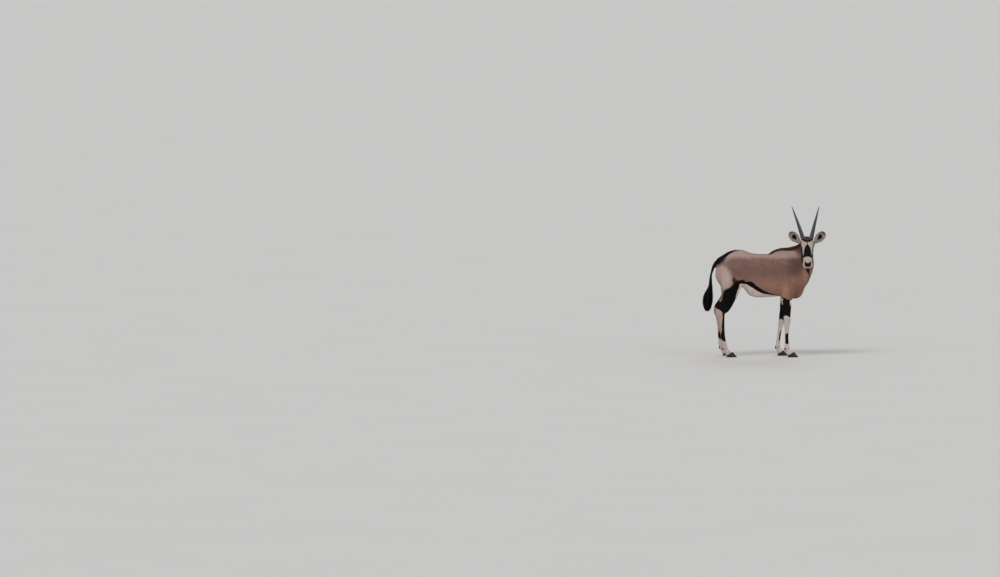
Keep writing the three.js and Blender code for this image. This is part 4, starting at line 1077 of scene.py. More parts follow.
@dataclass(frozen=True)
class Pelt:
    """The coat's finish: markings from the mesh's own values, with a ragged edge and fine streaks of hair."""

    name: str
    relief: float
    ragged: float = 5.0
    streaks: float = 0.18

    def material(self) -> bpy.types.Material:
        """Builds the material."""
        nodes = Nodes(self.name, 0.75, 0.12)
        fine = nodes.noise(nodes.place((1, 1, 1)), 420, 2)
        streak = nodes.noise(nodes.place((0.32, 1, 0.5)), 330, 3)
        legs = nodes.noise(nodes.place((1, 1, 0.2)), 420, 2)
        broad = nodes.noise(nodes.place(), 26, 2)
        edge = nodes.sums("MULTIPLY", nodes.sums("SUBTRACT", fine, 0.5), self.ragged * 2)
        colour = nodes.attribute("tone", "Color")
        for name, paint in (("white", PALETTE.white), ("black", PALETTE.black)):
            distance = nodes.sums("ADD", nodes.attribute(name), edge)
            colour = nodes.blend(nodes.span(distance, -1.6, 1.6, 1, 0), colour, rgba(paint))
        hair = nodes.span(streak, 0.3, 0.7, 1 - self.streaks, 1 + self.streaks)
        colour = nodes.scaled(colour, nodes.sums("MULTIPLY", nodes.attribute("shade"), hair))
        colour = nodes.scaled(colour, nodes.span(broad, 0.25, 0.75, 0.93, 1.06))
        if self.relief:
            nodes.bump(nodes.sums("ADD", streak, legs), self.relief * MM)
        return nodes.colour(colour)


@dataclass(frozen=True)
class Keratin:
    """Horn and hoof: dark, with worn ridges and fine grain along its growth."""

    name: str
    dark: tuple[int, int, int]
    worn: tuple[int, int, int]
    roughness: float
    grain: tuple[float, float, float]

    def material(self) -> bpy.types.Material:
        """Builds the material from the mesh's ridge and growth values."""
        nodes = Nodes(self.name, self.roughness, 0.45)
        grain = nodes.noise(nodes.place(self.grain), 260, 4)
        broad = nodes.noise(nodes.place(), 38, 3)
        wear = nodes.sums("ADD", nodes.attribute("ridge"), nodes.span(broad, 0.3, 0.7, -0.25, 0.25))
        dark, worn = rgba(photo_colour(*self.dark)), rgba(photo_colour(*self.worn))
        colour = nodes.blend(nodes.span(wear, 0.1, 1.1, 0, 1), dark, worn)
        colour = nodes.scaled(colour, nodes.span(grain, 0.25, 0.75, 0.72, 1.2))
        rough = nodes.span(wear, 0, 1, self.roughness - 0.1, self.roughness + 0.2)
        nodes.link(rough, nodes.shader.inputs["Roughness"])
        nodes.bump(grain, 0.5 * MM)
        return nodes.colour(colour)


@dataclass(frozen=True)
class WetEye:
    """A dark brown iris with a long level pupil under a wet, glossy front."""

    name: str = "wet_eye"

    def material(self) -> bpy.types.Material:
        """Builds the material from the ball's own ring and pupil values, in millimetres."""
        nodes = Nodes(self.name, 0.3, 0.0, Coat_Weight=1.0, Coat_Roughness=0.03, Coat_IOR=1.376)
        fibre = nodes.noise(nodes.place(), 900, 3)
        iris_dark, iris_light = rgba(photo_colour(34, 20, 14)), rgba(photo_colour(70, 42, 26))
        rim, pupil = rgba(photo_colour(16, 11, 10)), rgba(photo_colour(5, 5, 8))
        iris = nodes.blend(nodes.span(fibre, 0.3, 0.7, 0, 1), iris_dark, iris_light)
        colour = nodes.blend(nodes.span(nodes.attribute("ring"), 11.5, 13.5, 0, 1), iris, rim)
        colour = nodes.blend(nodes.span(nodes.attribute("pupil"), -0.4, 0.5, 1, 0), colour, pupil)
        return nodes.colour(colour)


# Writing meshes

def fixed_offset() -> Array:
    """How far the fixed frame stands from the body's own frame, from the place of the right eye's solid."""
    low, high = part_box("eye_right")
    middle = (vec(*low) + vec(*high)) / 2 / MM
    return middle - eye_middle(-1)


OFFSET = fixed_offset()


def write_mesh(name: str, net: Net, material: bpy.types.Material, replaced: Sequence[str] = (),
               values: dict[str, Array] | None = None, uv: Array | None = None,
               normals: Array | None = None) -> bpy.types.Object:
    """Makes a piece from a net and ties it to the frame.

    Args:
        name: The piece's name.
        net: Its points, in millimetres of the body's own frame, and faces.
        material: Its material.
        replaced: The fixed solids that it stands for.
        values: What each point carries: numbers, or colours of three numbers.
        uv: The place of each point on the bake map.
        normals: The direction that each point is shaded with.

    Returns:
        The piece.
    """
    mesh = bpy.data.meshes.new(name)
    count, faces = len(net.points), len(net.faces)
    mesh.vertices.add(count)
    mesh.vertices.foreach_set("co", ((net.points + OFFSET) * MM).astype(np.float32).ravel())
    mesh.loops.add(3 * faces)
    mesh.loops.foreach_set("vertex_index", net.faces.astype(np.int32).ravel())
    mesh.polygons.add(faces)
    mesh.polygons.foreach_set("loop_start", np.arange(faces, dtype=np.int32) * 3)
    mesh.update(calc_edges=True)
    mesh.polygons.foreach_set("use_smooth", np.ones(faces, bool))
    for key, value in (values or {}).items():
        if value.ndim == 2:
            data = np.ones((count, 4), np.float32)
            data[:, :3] = value
            mesh.attributes.new(key, "FLOAT_COLOR", "POINT").data.foreach_set("color", data.ravel())
        else:
            mesh.attributes.new(key, "FLOAT", "POINT").data.foreach_set("value", value.astype(np.float32))
    if uv is not None:
        layer = mesh.uv_layers.new(name="OFBake")
        layer.data.foreach_set("uv", uv[net.faces.ravel()].astype(np.float32).ravel())
    if normals is not None:
        mesh.normals_split_custom_set_from_vertices(normals.tolist())
    mesh.materials.append(material)
    piece = bpy.data.objects.new(name, mesh)
    bpy.context.scene.collection.objects.link(piece)
    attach(piece, "root")
    if replaced:
        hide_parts(*replaced)
    log.info("%s: %d triangles", name, faces)
    return piece


def marks_values(marks: Markings) -> dict[str, Array]:
    """The markings as the values that a mesh carries."""
    return {"tone": marks.tone, "white": marks.white, "black": marks.black, "shade": marks.shade}


def grid_faces(rows: int, columns: int, around: bool = True) -> Array:
    """The triangles of a grid of points, closed round its columns."""
    i, j = np.meshgrid(np.arange(rows - 1), np.arange(columns if around else columns - 1), indexing="ij")
    a = i * columns + j
    b = i * columns + (j + 1) % columns
    lower = np.stack([a, b, b + columns], -1).reshape(-1, 3)
    upper = np.stack([a, b + columns, a + columns], -1).reshape(-1, 3)
    return np.vstack([lower, upper])


def closed_rings(rings: Array) -> Net:
    """A closed net over rings of points, each end closed by a fan to its middle.

    Args:
        rings: Points, one row for each ring.

    Returns:
        The net, turned to face outwards.
    """
    rows, columns = rings.shape[:2]
    points = np.vstack([rings.reshape(-1, 3), rings[:1].mean(1), rings[-1:].mean(1)])
    j = np.arange(columns)
    k = (j + 1) % columns
    top = (rows - 1) * columns
    fans = [np.stack([np.full(columns, len(points) - 2), k, j], 1),
            np.stack([np.full(columns, len(points) - 1), top + j, top + k], 1)]
    faces = np.vstack([grid_faces(rows, columns), *fans])
    a, b, c = (points[faces[:, n]] for n in range(3))
    if np.einsum("ij,ij->i", a, np.cross(b, c)).sum() < 0:
        faces = faces[:, ::-1]
    return Net(points, faces)


# The coat

class Cell(Enum):
    """Where each part of the coat has its place on the bake map: low corner and size."""

    TRUNK = (0.01, 0.01, 0.58, 0.48)
    NECK = (0.61, 0.01, 0.18, 0.30)
    HEAD = (0.81, 0.01, 0.18, 0.30)
    TAIL = (0.61, 0.33, 0.18, 0.16)
    MANE = (0.81, 0.33, 0.18, 0.16)
    FORE_RIGHT = (0.01, 0.51, 0.17, 0.30)
    FORE_LEFT = (0.20, 0.51, 0.17, 0.30)
    HIND_RIGHT = (0.39, 0.51, 0.17, 0.30)
    HIND_LEFT = (0.58, 0.51, 0.17, 0.30)
    TUFT = (0.77, 0.51, 0.22, 0.30)
    EAR_RIGHT = (0.01, 0.83, 0.30, 0.15)
    EAR_LEFT = (0.33, 0.83, 0.30, 0.15)
    LASHES = (0.65, 0.83, 0.30, 0.15)

    def place(self, across: Array, along: Array) -> Array:
        """The place of shares from 0 to 1 across and along the part's own unwrap."""
        left, low, wide, high = self.value
        return np.stack([left + wide * np.clip(across, 0, 1), low + high * np.clip(along, 0, 1)], 1)


def unwrapped(p: Array) -> Array:
    """The bake map's place of points on the body: turn round the part's middle line, share of its length."""
    region = FLESH.regions(p)
    place = np.zeros((len(p), 2))
    for part, tube in zip(Region, TUBES):
        own = region == part.value
        if own.any():
            seen = tube.local(p[own])
            turn = np.arctan2(seen["left"], seen["over"]) / (2 * math.pi) + 0.5
            place[own] = Cell[part.name].place(turn, seen["share"])
    return place


@dataclass
class Cover:
    """A net with what its coat needs at each point."""

    net: Net
    normal: Array
    flow: Array
    marks: Markings
    length: Array
    width: Array
    crowd: Array
    lift: Array

    def roots(self, random: np.random.Generator) -> dict[str, Array]:
        """Draws roots evenly over the net, more where it says so.

        Args:
            random: The seeded draws.

        Returns:
            What each root has: its point, axes, sizes and markings.
        """
        faces = self.net.faces
        wanted = self.net.areas() * 1e-6 * self.crowd[faces].mean(1)
        count = np.floor(wanted + random.random(len(wanted))).astype(int)
        own = faces[np.repeat(np.arange(len(faces)), count)]
        r, s = random.random((2, len(own)))
        flip = r + s > 1
        r, s = np.where(flip, 1 - r, r), np.where(flip, 1 - s, s)
        weight = np.stack([1 - r - s, r, s], 1)

        def read(values: Array) -> Array:
            """Values of the net's points, read inside the faces."""
            return np.einsum("ij,ij...->i...", weight, values[own])

        normal = unit(read(self.normal))
        flow = read(self.flow)
        flow = unit(flow - (flow * normal).sum(1, keepdims=True) * normal)
        return {"point": read(self.net.points), "normal": normal, "flow": flow, "length": read(self.length),
                "width": read(self.width), "lift": read(self.lift), "tone": read(self.marks.tone),
                "white": read(self.marks.white), "black": read(self.marks.black),
                "shade": read(self.marks.shade)}


@dataclass
class Hair:
    """Many small closed tufts or locks as arrays: the same points and faces for each."""

    points: Array
    normals: Array
    faces: Array
    place: Array
    spread: Array
    values: dict[str, Array]

    def write(self, name: str, material: bpy.types.Material, slot: str, replaced: Sequence[str] = ()) -> None:
        """Writes the hair as pieces of under 200,000 triangles.

        Args:
            name: The first words of each piece's name.
            material: Its material.
            slot: Not used.
            replaced: The fixed solids that the first piece stands for.
        """
        count, corners = self.points.shape[:2]
        most = 190_000 // len(self.faces)
        parts = max(1, math.ceil(count / most))
        for i, chosen in enumerate(np.array_split(np.arange(count), parts)):
            own = len(chosen)
            faces = (self.faces[None] + (np.arange(own) * corners)[:, None, None]).reshape(-1, 3)
            uv = (self.place[chosen][:, None] + self.spread[None]).reshape(-1, 2)
            values = {key: value[chosen].reshape(own * corners, *value.shape[2:])
                      for key, value in self.values.items()}
            title = f"{name}_{i + 1}" if parts > 1 else name
            write_mesh(title, Net(self.points[chosen].reshape(-1, 3), faces), material,
                       replaced if i == 0 else (), values, uv, self.normals[chosen].reshape(-1, 3))


PATCH = 0.003


def flat_tufts(roots: dict[str, Array], random: np.random.Generator) -> tuple[Array, Array, Array]:
    """Short tufts that lie along the skin: each a thin four-faced blade, root * width to a point.

    Args:
        roots: What each root has.
        random: The seeded draws.

    Returns:
        The points, the shading directions and the faces of one tuft.
    """
    count = len(roots["point"])
    normal, flow = roots["normal"], roots["flow"]
    side = np.cross(normal, flow)
    yaw = random.normal(0, 0.2, count)[:, None]
    flow = unit(flow + side * yaw)
    side = np.cross(normal, flow)
    lift = (roots["lift"] * random.uniform(0.6, 1.4, count))[:, None]
    length = (roots["length"] * random.uniform(0.72, 1.2, count))[:, None]
    half = (0.5 * roots["width"] * random.uniform(0.75, 1.25, count))[:, None]
    start = roots["point"] - 0.35 * normal
    tip = start + length * (flow * np.cos(lift) + normal * np.sin(lift))
    points = np.stack(
        [start + side * half, start - side * half, start - normal * half * 0.8 + flow * half, tip], 1)
    bend = 0.5
    shading = np.stack([normal + bend * side, normal - bend * side, normal, normal + 0.3 * flow], 1)
    return points, unit(shading), np.array([[1, 3, 0], [0, 3, 2], [1, 2, 3], [0, 2, 1]])


def shaded(
    marks: dict[str, Array], ramp: Array, random: np.random.Generator, vary: float = 0.12
) -> dict[str, Array]:
    """The values of each tuft's points: its root's markings, darker at the root and lighter at the tip.

    Args:
        marks: The roots' markings.
        ramp: How light each point of a tuft is.
        random: The seeded draws.
        vary: How much tufts differ.

    Returns:
        One value for each point of each tuft.
    """
    count, corners = len(marks["white"]), len(ramp)
    own = marks["shade"] * random.normal(1, vary, count)
    values = {key: np.repeat(marks[key][:, None], corners, 1) for key in ("tone", "white", "black")}
    values["shade"] = np.clip(own, 0.55, 1.5)[:, None] * ramp[None]
    return values


def coat_hair(roots: dict[str, Array], place: Array, seed: int) -> Hair:
    """The short coat over roots."""
    random = np.random.default_rng(seed)
    points, normals, faces = flat_tufts(roots, random)
    spread = PATCH * np.array([[0, 0], [1, 0], [0.5, 0.1], [0.5, 1]])
    ramp = vec(0.94, 0.94, 0.9, 1.05)
    return Hair(points, normals, faces, place, spread, shaded(roots, ramp, random, 0.07))


def long_locks(
    line: Array, out: Array, width: Array, thick: float = 0.4
) -> tuple[Array, Array, Array, Array]:
    """Long bent locks: a flat three-sided section carried along each line and drawn to a point.

    The half width at share t is width / 2 * (0.55 + 0.45 sin(pi t)) * (1 - t^3).

    Args:
        line: The points of each lock's middle line, one row for each lock.
        out: The direction that each point's flat face turns to.
        width: Each lock's width.
        thick: Its thickness as a share of its width.

    Returns:
        The points, the shading directions, the faces of one lock and the share along it of each point.
    """
    steps = line.shape[1]
    run = np.gradient(line, axis=1)
    run = unit(run)
    out = unit(out - (out * run).sum(2, keepdims=True) * run)
    side = np.cross(out, run)
    t = np.linspace(0, 1, steps)
    profile = (0.55 + 0.45 * np.sin(math.pi * t)) * (1 - t**3)
    half = 0.5 * width[:, None, None] * profile[None, :, None]
    rings = np.stack([line + side * half, line - side * half, line - out * half * 2 * thick], 2)
    shading = np.stack([out + 0.5 * side, out - 0.5 * side, out], 2)
    body = rings[:, :-1].reshape(len(line), -1, 3)
    points = np.concatenate([body, line[:, -1:]], 1)
    normals = np.concatenate([shading[:, :-1].reshape(len(line), -1, 3), out[:, -1:]], 1)
    faces = []
    for i in range(steps - 2):
        a = 3 * i + np.array([[0, 2, 1]])[0]
        b = a + 3
        for j in range(3):
            k = (j + 1) % 3
            faces += [[a[j], b[k], a[k]], [a[j], b[j], b[k]]]
    last = 3 * (steps - 2)
    tip = 3 * (steps - 1)
    faces += [[last, tip, last + 2], [last + 2, tip, last + 1], [last + 1, tip, last], [0, 2, 1]]
    share = np.concatenate([np.repeat(t[:-1], 3), [1.0]])
    return points, unit(normals), np.array(faces), share


def lock_hair(line: Array, out: Array, width: Array, place: Array, marks: dict[str, Array],
              random: np.random.Generator, ramp: tuple[float, float] = (0.8, 1.12)) -> Hair:
    """Long locks with their markings."""
    points, normals, faces, share = long_locks(line, out, width)
    spread = PATCH * np.stack([np.tile(vec(0, 1, 0.5), len(share))[: len(share)], share], 1)
    return Hair(points, normals, faces, place, spread, shaded(marks, mix(ramp[0], ramp[1], share), random))


def hair_count(full: int) -> int:
    return full // 1


def plain_marks(count: int, tone: Array) -> dict[str, Array]:
    """Markings of one tone."""
    far = np.full(count, 40.0)
    return {"tone": np.tile(tone, (count, 1)), "white": far, "black": far, "shade": np.ones(count)}


class Body:
    """The skin of the whole animal and the short coat on it."""

    FLESH_NODES = ["torso", "neck", "head", "tail", "ear_right", "ear_left"]
    # The coat's measures on the trunk, the legs and the face. Lengths and widths are in mm, crowds in
    # tufts to a square metre, and a lift is the angle, in radians, at which a tuft leaves the skin.
    LENGTHS = (11.5, 7.0, 5.0)
    WIDTHS = (2.4, 1.8, 1.25)
    CROWDS = (84_000.0, 150_000.0, 330_000.0)
    LIFTS = (0.12, 0.11, 0.13)
    TAIL_LENGTH = 15
    LIP_LENGTH = 2.8

    def __init__(self, pelt: Pelt, hair: Pelt, pattern: Pattern) -> None:
        """Takes the finishes.

        Args:
            pelt: The skin's finish.
            hair: The tufts' finish.
            pattern: The markings.
        """
        self.pattern = pattern
        self.skin_material, self.hair_material = pelt.material(), hair.material()

    def lie(self, p: Array, normal: Array) -> Array:
        """The lie of the coat: back along the trunk, down the neck from the head, down the legs and face."""
        x, _, z = p.T
        shoulder = 0.9 * ease(x, 160, 320) * ease(z, 960, 780)
        haunch = 0.9 * ease(x, -220, -330) * ease(z, 1000, 860)
        drop = 0.22 + shoulder + haunch
        trunk = np.stack([-np.ones_like(x), np.zeros_like(x), -drop], 1)
        total = trunk * np.exp(-np.maximum(TRUNK.distance(p), -25) / 16)[:, None]
        parts = [(NECK, -1.0, 0.0), (FACE, 1.0, 6.0), *((leg.tube, 1.0, 8.0) for leg in LEGS),
                 (DOCK, 1.0, 8.0)]
        for tube, way, bonus in parts:
            d = tube.distance(p)
            near = d < 60
            if near.any():
                run = tube.local(p[near])["run"] * way
                total[near] += unit(run) * np.exp(-(np.maximum(d[near], -25) - bonus) / 16)[:, None]
        flow = total - (total * normal).sum(1, keepdims=True) * normal
        return unit(flow)

    def cover(self) -> Cover:
        """The skin's net with the coat's measures at each point."""
        net = Skin().net()
        p = net.points
        normal = net.normals()
        # The bare skin is painted darker, at 0.86: painted shade between the tufts.
        marks = self.pattern.read(p, 0.86)
        along, depth, aside = to_head(p)
        face = ease(FACE.distance(p), 26, 4)
        low = ease(p[:, 2], 700, 480)
        tail = ease(DOCK.distance(p), 22, 8) * (p[:, 0] < -470)
        length, width, crowd, lift = (
            mix(mix(np.full(len(p), trunk), leg, low), head, face)
            for trunk, leg, head in (self.LENGTHS, self.WIDTHS, self.CROWDS, self.LIFTS))
        length = mix(length, self.TAIL_LENGTH, tail)
        fine = eye_distance(along, depth, aside)
        crowd *= ease(fine, 21.5, 24.5)
        nose = (along > 356) & (depth < 56) & (np.abs(aside) < 38) & (face > 0.5)
        crowd[nose] *= 0.15
        length = np.where(nose | (fine < 34) | ((along > 330) & (face > 0.5)), self.LIP_LENGTH, length)
        crowd *= np.where(p[:, 2] < 24, 0, 1)
        return Cover(net, normal, self.lie(p, normal), marks, length, width, crowd, lift)

    def build(self) -> Cover:
        """Writes the skin, with the ears on it, and the coat."""
        cover = self.cover()
        ears = [Ear(side, cell).cover() for side, cell in ((-1, Cell.EAR_RIGHT), (1, Cell.EAR_LEFT))]
        net, marks = cover.net, cover.marks
        for ear in ears:
            net = net.joined(ear.net)
            marks = Markings(*(np.concatenate([getattr(marks, key), getattr(ear.marks, key)])
                               for key in ("tone", "white", "black", "shade")))
        nodes = self.FLESH_NODES + [node for leg in LEGS for node in leg.nodes()]
        write_mesh("gemsbok_skin", net, self.skin_material, nodes, marks_values(marks))
        roots = cover.roots(np.random.default_rng(1))
        coat_hair(roots, unwrapped(roots["point"]), 2).write("coat", self.hair_material, "coat")
        for side, ear, name in ((-1, ears[0], "right"), (1, ears[1], "left")):
            Ear(side, Cell[f"EAR_{name.upper()}"]).hair(ear, name, self.hair_material)
        return cover


class Ear:
    """One ear: a leaf rolled into a cup, with short hair on its back and a pale fringe inside its rims."""

    ROWS, ACROSS = 46, 34

    def __init__(self, side: int, cell: Cell) -> None:
        """Places the ear.

        Args:
            side: -1 for the right, 1 for the left.
            cell: Its place on the bake map.
        """
        self.side, self.cell = side, cell
        self.base = on_head(EAR_PLACE[0], EAR_PLACE[1], side * EAR_PLACE[2])
        self.run = unit(vec(side * math.cos(EAR_OUT), 0.1, math.sin(EAR_OUT)))
        face = vec(side * 0.12, -1, 0.12)
        self.face = unit(face - self.run * (face @ self.run))
        self.across = np.cross(self.face, self.run) * side

    def point(self, t: Array, u: Array, wall: Array) -> Array:
        """The ear's surface at share t of its length and u from -1 to 1 across, set in by a wall.

        The leaf's half width climbs to 0.6 of the length and rounds off at the tip. It is bent round a circle
        whose half turn falls from 2.5 at the base to 1.25.
        """
        climb = ease(t, 0.04, 0.58)
        tip = np.sqrt(np.maximum(1 - (np.maximum(t - 0.6, 0) / 0.4) ** 2.6, 0))
        half = np.maximum((EAR_WIDTH / 2) * mix(0.3, 1, climb) * tip, 1.2)
        roll = mix(2.5, 1.25, np.clip(t / 0.5, 0, 1))
        radius = half / np.sin(np.minimum(roll, math.pi / 2))
        shell = radius - wall
        turn = u * roll
        fold = 1.6 * np.sin(u * 7.5) * (wall > 0.5) * ease(t, 0.1, 0.3) * ease(t, 0.95, 0.6) * (1 - u**2)
        deep = radius * 0.72 - (shell - fold) * np.cos(turn) * 0.9
        place = t[..., None] * EAR_LENGTH * self.run
        wide = (shell * np.sin(turn))[..., None] * self.across
        return self.base + place + wide + deep[..., None] * self.face

    def cover(self) -> Cover:
        """The ear's closed net with the coat's measures."""
        t = np.linspace(-0.16, 0.985, self.ROWS)[:, None]
        outer = np.linspace(-1, 1, self.ACROSS)[None]
        inner = np.linspace(0.97, -0.97, self.ACROSS)[None]
        wall = 3.0 * np.clip((1 - t) * 5, 0.35, 1) * np.sqrt(np.maximum(1 - np.abs(inner) ** 6, 0.1))
        tt, uu = np.broadcast_arrays(t, np.hstack([outer, inner]))
        walls = np.hstack([np.zeros_like(t * outer), wall])
        rings = self.point(np.clip(tt, 0, 1), uu, walls)
        rings = rings + np.minimum(tt, 0)[..., None] * EAR_LENGTH * self.run
        net = closed_rings(rings)
        t_all = np.concatenate([tt.ravel(), [-0.16, 0.985]])
        u_all = np.concatenate([uu.ravel(), [0, 0]])
        inside = np.concatenate([(walls > 0.5).ravel(), [False, False]])
        normal = net.normals()
        p = net.points
        tone = mix(np.tile(PALETTE.ear_back, (len(p), 1)), PALETTE.cheek, ease(t_all, 0.3, 0.02)[:, None])
        # Inside, the cup is painted darker towards the middle of its base: painted shade in the hollow.
        deep = ease(np.abs(u_all), 0.8, 0.25) * ease(t_all, 0.5, 0.1)
        tone[inside] = mix(photo_colour(128, 114, 106, 1.35), photo_colour(60, 46, 42), deep[:, None])[inside]
        rim = np.where(inside, 0.93, 0.8)
        sides = ease(np.abs(u_all), rim - 0.06, rim + 0.05) * ease(t_all, 0.3, 0.6)
        edge = np.maximum(sides, ease(t_all, 0.9, 0.96))
        tone = mix(tone, PALETTE.stifle, (0.85 * edge)[:, None])
        spot = (np.hypot((t_all - 0.6) * EAR_LENGTH / 30, u_all * 46 / 21) - 1) * 18
        black = np.where(inside, spot, 40.0)
        white = np.full(len(p), 40.0)
        marks = Markings(tone, white, np.clip(black, -40, 40), np.full(len(p), 0.95))
        flow = np.tile(self.run, (len(p), 1)) + 0.35 * u_all[:, None] * self.across * 1.0
        crowd = np.where(inside, 0.0, 260_000.0) * ease(t_all, -0.02, 0.05)
        length, width, lift = (np.full(len(p), size) for size in (7.0, 1.8, 0.16))
        return Cover(net, normal, flow, marks, length, width, crowd, lift)

    def hair(self, cover: Cover, name: str, material: bpy.types.Material) -> None:
        """Writes the hair on the back and the long fringe inside both rims.

        Args:
            cover: The ear's cover.
            name: Its side's name.
            material: The hair's material.
        """
        random = np.random.default_rng(20 + self.side)
        roots = cover.roots(random)
        offset = roots["point"] - self.base
        place = self.cell.place(offset @ self.across / EAR_WIDTH + 0.5, offset @ self.run / EAR_LENGTH)
        coat_hair(roots, place, 30 + self.side).write(f"ear_coat_{name}", material, "pale_coat")
        count = 1900
        t = random.uniform(0.05, 0.93, count)
        rim = np.where(random.random(count) < 0.5, -1.0, 1.0)
        u = rim * random.uniform(0.72, 0.97, count)
        root = self.point(t, u, np.full(count, 2.6))
        length = random.uniform(14, 31, count) * mix(0.42, 1, ease(t, 0.72, 0.32))
        steps = np.linspace(0, 1, 5)
        inward = -rim[:, None] * self.across * 0.75 + 0.8 * self.run + 0.28 * self.face
        line = root[:, None] + length[:, None, None] * (
            steps[None, :, None] * unit(inward)[:, None] + 0.25 * steps[None, :, None] ** 2 * self.run
            + random.normal(0, 0.12, (count, 1, 3)) * steps[None, :, None])
        out = np.tile(self.face, (count, 5, 1))
        marks = plain_marks(count, photo_colour(158, 142, 132, 1.4))
        place = self.cell.place((root - self.base) @ self.across / EAR_WIDTH + 0.5, t)
        fringe = lock_hair(line, out, random.uniform(0.7, 1.3, count), place, marks, random)
        fringe.write(f"ear_fringe_{name}", material, "pale_coat")


class Mane:
    """The short dark mane on the crest, from the withers to the horns."""

    COUNT = 7000
    LEAN = 0.85

    def build(self, material: bpy.types.Material) -> None:
        """Writes its locks, which stand up from the crest and lean back.

        Args:
            material: The hair's material.
        """
        random = np.random.default_rng(3)
        count = hair_count(self.COUNT)
        share = random.uniform(0.0, 0.985, count)
        ring = MANE.ring(share)
        aside = random.normal(0, 0.42, count).clip(-1, 1)
        start = ring["at"] + ring["left"] * (aside * 15)[:, None] + ring["over"] * 4
        root = settle(skin_distance, start, 8)
        tall = np.maximum(ring["sizes"][:, 1] - ((root - ring["at"]) * ring["over"]).sum(1), 8)
        grown = mix(0.55, 1.0, ease(share, 0.0, 0.16)) * mix(0.8, 1.0, 1 - np.abs(aside))
        lean = self.LEAN * random.uniform(0.75, 1.2, count)
        length = tall * grown * random.uniform(0.8, 1.12, count) / np.cos(lean * 0.8)
        steps = np.linspace(0, 1, 5)
        turn = lean[:, None] * (0.55 + 0.6 * steps[None])
        rise = np.cumsum(np.cos(turn), 1) - np.cos(turn[:, :1])
        back = np.cumsum(np.sin(turn), 1) - np.sin(turn[:, :1])
        line = (root - 1.5 * ring["over"])[:, None] + (length[:, None] / 4)[..., None] * (
            rise[..., None] * ring["over"][:, None] - back[..., None] * ring["run"][:, None]
            + 0.3 * (aside[:, None] * steps[None] * 4)[..., None] * ring["left"][:, None])
        out = np.tile((ring["left"] * np.sign(aside)[:, None] + 0.5 * ring["over"])[:, None], (1, 5, 1))
        nape = ease(share, 0.55, 0.85)
        tone = mix(np.tile(PALETTE.mane, (count, 1)), PALETTE.rust, 0.7 * nape[:, None])
        marks = plain_marks(count, PALETTE.mane)
        marks["tone"] = tone
        wide = random.uniform(1.3, 2.6, count)
        place = Cell.MANE.place(share, aside * 0.5 + 0.5)
        hair = lock_hair(line, out, wide, place, marks, random, (1.15, 0.62))
        hair.write("mane_hair", material, "dark_coat")


class TailTuft:
    """The long black hair of the tail, which hangs from the dock to the hocks."""

    COUNT = 4200

    def build(self, material: bpy.types.Material) -> None:
        """Writes its locks. Each runs from the dock out to its own layer of the tuft, then down to its end.

        Args:
            material: The hair's material.
        """
        random = np.random.default_rng(4)
        count = hair_count(self.COUNT)
        start = random.uniform(0.3, 0.8, count)
        turn = random.uniform(-math.pi, math.pi, count)
        layer = np.sqrt(random.uniform(0.05, 1, count))
        end = start + random.uniform(0.2, 0.44, count)
        end = np.clip(end, 0, 1 - 0.12 * layer * random.uniform(0, 1, count))
        steps = np.linspace(0, 1, 9)
        share = mix(start[:, None], end[:, None], steps[None])
        ring = TAIL.ring(share.ravel())
        at, left, over = (ring[key].reshape(count, 9, 3) for key in ("at", "left", "over"))
        sizes = ring["sizes"].reshape(count, 9, 3)
        bare = 9.5 / sizes[..., 1]
        reach = mix(bare, 1.04 * layer[:, None], np.sin(steps[None] * math.pi / 2) ** 0.9)
        angle = (turn[:, None] + 0.25 * np.sin(steps[None] * 3 + turn[:, None] * 2)
                 + random.normal(0, 0.1, (count, 1)) * steps)
        radial = (np.cos(angle) * sizes[..., 0])[..., None] * left
        radial = radial + (np.sin(angle) * sizes[..., 1])[..., None] * over
        line = at + reach[..., None] * radial
        marks = plain_marks(count, photo_colour(11, 9, 9))
        place = Cell.TUFT.place(turn / (2 * math.pi) + 0.5, (start - 0.4) * 2.5)
        wide = random.uniform(2.6, 5.2, count)
        hair = lock_hair(line, unit(radial), wide, place, marks, random, (0.75, 1.25))
        hair.write("tail_hair", material, "dark_coat", ["tail_tuft"])


